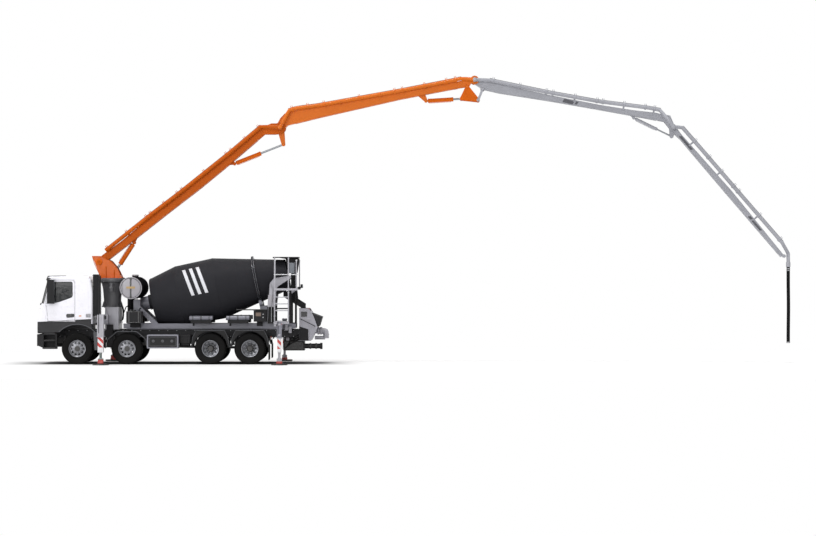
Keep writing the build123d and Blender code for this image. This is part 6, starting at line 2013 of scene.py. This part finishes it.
# ---- boom ---------------------------------------------------------------------------------------
@dataclass(frozen=True)
class ArmPlan:
    """One boom arm drawn along X from its root pin: half width, edges, pipe, finish and name panels."""
    name: str
    rise: float
    half_width: float
    length: float
    pin_r: float
    lower: tuple[Pair, ...]
    upper: tuple[Pair, ...]
    pipe: tuple[Pair, ...]
    finish: Finish
    marks: tuple[Pair, ...] = ()

    def height(self, line: Sequence[Pair], along: np.ndarray | float) -> np.ndarray:
        """Height of one of the arm's edges at a distance from its root."""
        edge = np.array(line, float)
        return np.interp(along, edge[:, 0], edge[:, 1])


# boom_1 takes the boom orange with painted shade, boom_2 the one with a painted highlight.
ARM_PLANS = (
    ArmPlan("boom_1", 36.6, 200, 7798, 60,
            ((0, -130), (1440, -96), (2983, -55), (4296, -33), (5415, 20), (6900, 118)),
            ((200, 119), (1012, 115), (2364, 185), (3675, 206), (5895, 287), (6930, 350)),
            ((420, 175), (2364, 240), (3675, 256), (5895, 335), (7300, 420)), BOOM_PAINTED_SHADE),
    ArmPlan("boom_2", 13.8, 160, 6928, 50,
            ((540, 20), (1418, 20), (4262, -30), (6025, -120), (6300, -142)),
            ((62, 300), (267, 430), (700, 454), (1502, 371), (4315, 193), (6079, 107), (6300, 93)),
            ((420, 500), (700, 520), (1502, 430), (4315, 250), (6079, 165), (6500, 150)), BOOM_PAINTED_LIGHT),
    ArmPlan("boom_3", -13.4, 125, 7059, 0,
            ((325, -244), (964, -236), (2715, -97), (4472, 10), (5634, 72), (6460, 108)),
            ((160, 35), (892, 68), (2680, 90), (4436, 162), (5591, 251), (6352, 345), (6460, 351)),
            ((500, 110), (2636, 170), (4395, 270), (6063, 450), (6500, 470)), BOOM_GREY,
            ((3130, 3500), (3560, 3640))),
    ArmPlan("boom_4", -49.1, 95, 5901, 38,
            ((150, -110), (500, -70), (2900, -95), (5840, -105)),
            ((120, 82), (400, 60), (3000, 95), (5840, 2)),
            ((200, 237), (1500, 240), (3000, 237), (5500, 237)), BOOM_GREY,
            ((380, 1000), (4040, 4180), (4230, 4680))),
)


@dataclass
class Boom(Assembly):
    """Flanges, panels, pipe couplings, hydraulic lines and bolts of the four arms and their rams."""
    root: Pair = (624, 3504)
    pipe_r: float = 62
    pipe_gap: float = 15

    def build(self) -> None:
        """Dresses each arm in its own frame, then the rams and the linkage."""
        at = np.array(self.root)
        outside = 250
        lies = []
        for plan in ARM_PLANS:
            lie = Lie((float(at[0]), float(at[1])), plan.rise)
            self.arm(plan, lie, outside)
            turn = math.radians(plan.rise)
            at = at + plan.length * np.array([math.cos(turn), math.sin(turn)])
            outside = plan.half_width
            lies.append(lie)
        for n in range(3):
            self.swivel(ARM_PLANS[n], ARM_PLANS[n + 1], lies[n], lies[n + 1])
        self.rams()
        self.tip(lie)

    def arm(self, plan: ArmPlan, lie: Lie, outside: float) -> None:
        """Makes the fittings of one arm.

        Args:
            plan: the arm's sizes.
            lie: where the arm lies at rest.
            outside: half width of what holds its root pin.
        """
        half = plan.half_width
        shapes = []
        for line, lift in ((plan.upper, 3), (plan.lower, -3)):
            edge = [(x, z + lift) for x, z in line]
            shapes += [strip(edge, 10, sorted((sign * (half - 22), sign * (half + 9)))) for sign in (-1, 1)]
        self.put(f"{plan.name}_edge_flanges", lie.place(shapes), plan.finish, plan.name, bevel=1.5)
        if plan.pin_r:
            head = lathe([(0, 0), (0, plan.pin_r + 27), (10, plan.pin_r + 27), (14, plan.pin_r + 20),
                          (14, 40), (8, 34), (8, 0)], (0, outside + 9, 0), ASIDE, 36)
            self.put(f"{plan.name}_pin_caps", lie.place(both(head)), plan.finish, plan.name, smooth=38)
        if plan.marks:
            marks = []
            for x0, x1 in plan.marks:
                low, high = float(plan.height(plan.lower, x0)) + 34, float(plan.height(plan.upper, x1)) - 34
                marks.append(plate([(x0, low), (x1, low), (x1 + 40, high), (x0 + 40, high)],
                                   (half - 1, half + 4)))
            self.put(f"{plan.name}_blank_panels", lie.place(both(marks)), MARK_DARK, plan.name)
        self.pipework(plan, lie)
        self.lines(plan, lie)

    def pipework(self, plan: ArmPlan, lie: Lie) -> None:
        """Bolted clamps along the concrete pipe, and the conduit on it; its brown on boom_1 and 2 is painted
        shade.

        Args:
            plan: the arm's sizes.
            lie: where the arm lies at rest.
        """
        y = self.pipe_y(plan)
        clamps = []
        for (xa, za), (xb, zb) in zip(plan.pipe, plan.pipe[1:]):
            slope = math.degrees(math.atan2(zb - za, xb - xa))
            for share in ((0.06, 0.5, 0.94) if xb - xa > 1300 else (0.5,)):
                ring = lathe([(-34, 60), (-34, 74), (-28, 80), (-8, 80), (-5, 74), (5, 74), (8, 80), (28, 80),
                              (34, 74), (34, 60)], (0, y, 0), ALONG, 32, ring=True)
                ears = spread(slab((-9, 9), (y - 40, y + 40), (60, 128)), [(-26, 0, 0), (26, 0, 0)])
                clamps.append(merge([ring, ears]).turned(-slope, 1).shifted(
                    (xa + (xb - xa) * share, 0, za + (zb - za) * share)))
        self.put(f"{plan.name}_pipe_clamps", lie.place(clamps), plan.finish, plan.name, bevel=2)
        conduit = tube([(x, y + 30, z + 66) for x, z in plan.pipe], 13, bend=130)
        # On boom_1 and boom_2 the conduit's brown is painted shade along the pipe's top edge.
        self.put(f"{plan.name}_conduit", lie.place(conduit),
                 CONDUIT_PAINTED_SHADE if plan.finish is not BOOM_GREY else MARK_DARK, plan.name, smooth=60)

    def pipe_y(self, plan: ArmPlan) -> float:
        """Y of an arm's concrete pipe, on its left flank."""
        return -plan.half_width - self.pipe_r - self.pipe_gap

    def swivel(self, inner: ArmPlan, outer: ArmPlan, lie: Lie, next_lie: Lie) -> None:
        """Two elbows that meet on a pin's own line, so that the pipe can turn with the joint.

        Args:
            inner: the arm before the joint.
            outer: the arm after it.
            lie: where the first arm lies.
            next_lie: where the second arm lies, its root on the pin.
        """
        near = -inner.half_width - self.pipe_r - 40
        far = near - 2 * self.pipe_r - 16
        x, z = outer.pipe[0]
        elbow = [tube([(x + 30, self.pipe_y(outer), z), (x * 0.5, near, z * 0.5), (0, near, 0)], self.pipe_r,
                      bend=150, sides=24), lathe([(-58, 0), (-58, 58), (-52, 66), (52, 66), (58, 78),
                                                  (76, 78), (82, 66), (200, 66), (206, 58), (206, 0)],
                                                 (0, near, 0), (0, -1, 0), 36)]
        self.put(f"{outer.name}_swivel_elbow", next_lie.place(elbow), outer.finish, outer.name, smooth=40)
        x, z = inner.pipe[-1]
        span = inner.length - x
        elbow = tube([(x - 30, self.pipe_y(inner), z), (x + span * 0.5, far, z * 0.5),
                      (inner.length, far, 0)], self.pipe_r, bend=150, sides=24)
        self.put(f"{inner.name}_swivel_elbow", lie.place(elbow), inner.finish, inner.name, smooth=40)

    def lines(self, plan: ArmPlan, lie: Lie) -> None:
        """Painted hydraulic tubes and their saddles on the right flank.

        Args:
            plan: the arm's sizes.
            lie: where the arm lies at rest.
        """
        side = plan.half_width
        start, end = plan.lower[0][0] + 900, plan.lower[-1][0] - 120
        along = np.linspace(start, end, 9)
        middle = plan.height(plan.lower, along) * 0.62 + plan.height(plan.upper, along) * 0.38
        shapes = [sweep(np.stack([along, np.full(9, side + 20), middle + n * 26], -1), circle(8.5, 10))
                  for n in range(3)]
        for x in np.linspace(start + 120, end - 120, 7):
            level = float(np.interp(x, along, middle))
            shapes.append(slab((x - 22, x + 22), (side - 1, side + 31), (level - 14, level + 66)))
        self.put(f"{plan.name}_oil_lines", lie.place(shapes), plan.finish, plan.name, smooth=40)

    def rams(self) -> None:
        """Gland rings and pressure pipes of the four cylinders, each drawn along X from its root pin."""
        plans = (("lift_ram", (1811, 4177), (1127, 3123), 78, 890),
                 ("fold_2_ram", (5287, 6911), (6989, 7580), 70, 990),
                 ("fold_3_ram", (11931, 9089), (13163, 9165), 70, 950),
                 ("fold_4_ram", (19138, 8500), (20448, 7857), 52, 900))
        for name, root, eye, barrel_r, length in plans:
            lie = Lie(root, math.degrees(math.atan2(eye[1] - root[1], eye[0] - root[0])))
            shapes = [lathe([(length - 62, barrel_r - 2), (length - 62, barrel_r + 5),
                             (length - 8, barrel_r + 5), (length - 2, barrel_r - 2)], ORIGIN, ALONG, 32,
                            ring=True), lathe([(74, barrel_r - 2), (74, barrel_r + 4), (104, barrel_r + 4),
                                               (104, barrel_r - 2)], ORIGIN, ALONG, 32, ring=True),
                      tube([(112, 0, -barrel_r + 4), (112, 0, -barrel_r - 14),
                            (length - 90, 0, -barrel_r - 14), (length - 90, 0, -barrel_r + 4)], 7, bend=10,
                           sides=8)]
            finish = BOOM_GREY if name == "fold_4_ram" else BOOM_ORANGE
            self.put(f"{name}_gland_and_pipe", lie.place(shapes), finish, f"{name}_barrel", smooth=38)

    def tip(self, lie: Lie) -> None:
        """Cross bar and a small plate at the end of the fourth arm."""
        shapes = [tube([(5780, -112, -60), (5780, 112, -60)], 16),
                  slab((5700, 5860), (-100, 100), (-112, -104))]
        self.put("boom_tip_bar", lie.place(shapes), BOOM_GREY, "boom_4", bevel=2)


# ---- studio -------------------------------------------------------------------------------------
@dataclass
class Studio:
    """Camera, floor, sky and lamps."""
    camera_at: Point = (11307.0, -82550.0, 3296.0)
    lens_mm: float = 105.0
    floor_half: float = 400.0
    floor_reach: Pair = (17.0, 8.5)
    # Middle of the painted contact shadow on the floor, in mm.
    painted_shadow_at: Point = (3500.0, 0.0, 0.0)

    def build(self) -> None:
        """Sets up everything that isn't the object."""
        self.camera()
        self.floor()
        self.sky()
        self.lamps()
        bpy.context.scene.view_settings.view_transform = "Standard"

    def camera(self) -> None:
        """A long lens that looks level along +Y."""
        data = bpy.data.cameras.new("camera")
        data.lens = self.lens_mm
        data.sensor_width = 36.0
        data.clip_end = 1000.0
        camera = bpy.data.objects.new("camera", data)
        camera.location = to_row(np.array(self.camera_at)).tolist()
        camera.rotation_euler = (math.pi / 2, 0.0, 0.0)
        bpy.context.scene.collection.objects.link(camera)
        bpy.context.scene.camera = camera

    def floor(self) -> None:
        """A pale floor that fades to white away from the object, keeps its shadow and carries a painted
        contact shadow under the truck.
        """
        half = self.floor_half
        mesh = bpy.data.meshes.new("floor")
        mesh.from_pydata([(-half, -half, 0), (half, -half, 0), (half, half, 0), (-half, half, 0)], [],
                         [(0, 1, 2, 3)])
        floor = bpy.data.objects.new("floor", mesh)
        bpy.context.scene.collection.objects.link(floor)
        material = bpy.data.materials.new("pale_floor")
        tree = empty_tree(material)
        place = add_node(tree, "ShaderNodeTexCoord").outputs["Object"]
        reach = (1 / self.floor_reach[0], 1 / self.floor_reach[1], 1.0)
        spread = add_node(tree, "ShaderNodeVectorMath", {0: place, 1: reach}, operation="MULTIPLY")
        radius = add_node(tree, "ShaderNodeVectorMath", {0: spread}, operation="LENGTH")
        away = add_node(tree, "ShaderNodeMapRange", {"Value": radius.outputs["Value"], "From Min": 0.8,
                                                     "From Max": 1.6, "To Min": 0.0, "To Max": 1.0})
        rays = add_node(tree, "ShaderNodeLightPath")
        seen = add_node(tree, "ShaderNodeMath", {0: away, 1: rays.outputs["Is Camera Ray"]},
                        operation="MULTIPLY")
        matt = add_node(tree, "ShaderNodeBsdfDiffuse", {"Color": self.painted_contact_shadow(tree, place)})
        white = add_node(tree, "ShaderNodeEmission", {"Color": (1.0, 1.0, 1.0, 1.0), "Strength": 1.0})
        mixed = add_node(tree, "ShaderNodeMixShader", {0: seen, 1: matt, 2: white})
        add_node(tree, "ShaderNodeOutputMaterial", {"Surface": mixed})
        mesh.materials.append(material)

    def painted_contact_shadow(self, tree: bpy.types.NodeTree, place: bpy.types.NodeSocket) -> bpy.types.NodeSocket:
        """The floor's grey: pale, with a painted contact shadow under the truck in a soft-edged rectangle.

        Args:
            tree: the floor material's node tree.
            place: object coordinates in metres.

        Returns:
            The socket with the grey.
        """
        centre = to_row(np.array(self.painted_shadow_at)).tolist()
        away = add_node(tree, "ShaderNodeVectorMath", {0: place, 1: centre}, operation="SUBTRACT")
        away = add_node(tree, "ShaderNodeVectorMath", {0: away}, operation="ABSOLUTE")
        axes = add_node(tree, "ShaderNodeSeparateXYZ", {"Vector": away})
        along = add_node(tree, "ShaderNodeMapRange",
                         {"Value": axes.outputs["X"], "From Min": 3.6, "From Max": 6.6},
                         interpolation_type="SMOOTHSTEP")
        aside = add_node(tree, "ShaderNodeMapRange",
                         {"Value": axes.outputs["Y"], "From Min": 0.7, "From Max": 1.5},
                         interpolation_type="SMOOTHSTEP")
        edge = add_node(tree, "ShaderNodeMath", {0: along, 1: aside},
                        operation="MAXIMUM")
        return add_node(tree, "ShaderNodeMapRange", {"Value": edge, "To Min": 0.05,
                                                     "To Max": 0.84}).outputs["Result"]

    def sky(self) -> None:
        """A white surround that lights mostly from above, so that the floor stays dark under the object."""
        world = bpy.data.worlds.new("surround")
        bpy.context.scene.world = world
        tree = empty_tree(world)
        rays = add_node(tree, "ShaderNodeLightPath")
        either = add_node(tree, "ShaderNodeMath", {0: rays.outputs["Is Camera Ray"],
                                                   1: rays.outputs["Is Glossy Ray"]}, operation="MAXIMUM")
        seen = add_node(tree, "ShaderNodeMath", {0: either,
                                                 1: rays.outputs["Is Transmission Ray"]}, operation="MAXIMUM")
        place = add_node(tree, "ShaderNodeTexCoord").outputs["Generated"]
        height = add_node(tree, "ShaderNodeSeparateXYZ", {"Vector": place}).outputs["Z"]
        dome = add_node(tree, "ShaderNodeMapRange",
                        {"Value": height, "From Max": 0.8, "To Min": 0.16, "To Max": 0.85})
        level = add_node(tree, "ShaderNodeMix", {"Factor": seen, "A": dome,
                                                 "B": 1.0}, data_type="FLOAT")
        light = add_node(tree, "ShaderNodeBackground", {"Color": (1.0, 1.0, 1.0, 1.0),
                                                        "Strength": level})
        add_node(tree, "ShaderNodeOutputWorld", {"Surface": light})

    def lamps(self) -> None:
        """A broad key from the upper left front and a weaker one from the right."""
        for name, strength, spread, tilt in (("key", 1.7, 16.0, (math.radians(14), 0.0, math.radians(-28))),
                                             ("fill", 1.5, 40.0, (math.radians(84), 0.0, math.radians(-25)))):
            data = bpy.data.lights.new(name, "SUN")
            data.energy = strength
            data.angle = math.radians(spread)
            lamp = bpy.data.objects.new(name, data)
            lamp.rotation_euler = tilt
            bpy.context.scene.collection.objects.link(lamp)


def main() -> None:
    """Builds the studio and every sub-assembly, and reports each piece."""
    logging.basicConfig(level=logging.INFO, format="%(name)s: %(message)s")
    Studio().build()
    paint = Paintshop()
    maker = Maker(paint)
    EndHose(maker).build()
    paint.dress_cad()
    for assembly in (Wheels, Cab, ChassisGear, Outriggers, Pedestal, Drum, WaterTank, RearEnd, Pump, Boom):
        before = maker.made
        assembly(maker).build()
        LOG.info("%s: %d pieces", assembly.__name__, maker.made - before)


if __name__ == "__main__":
    main()
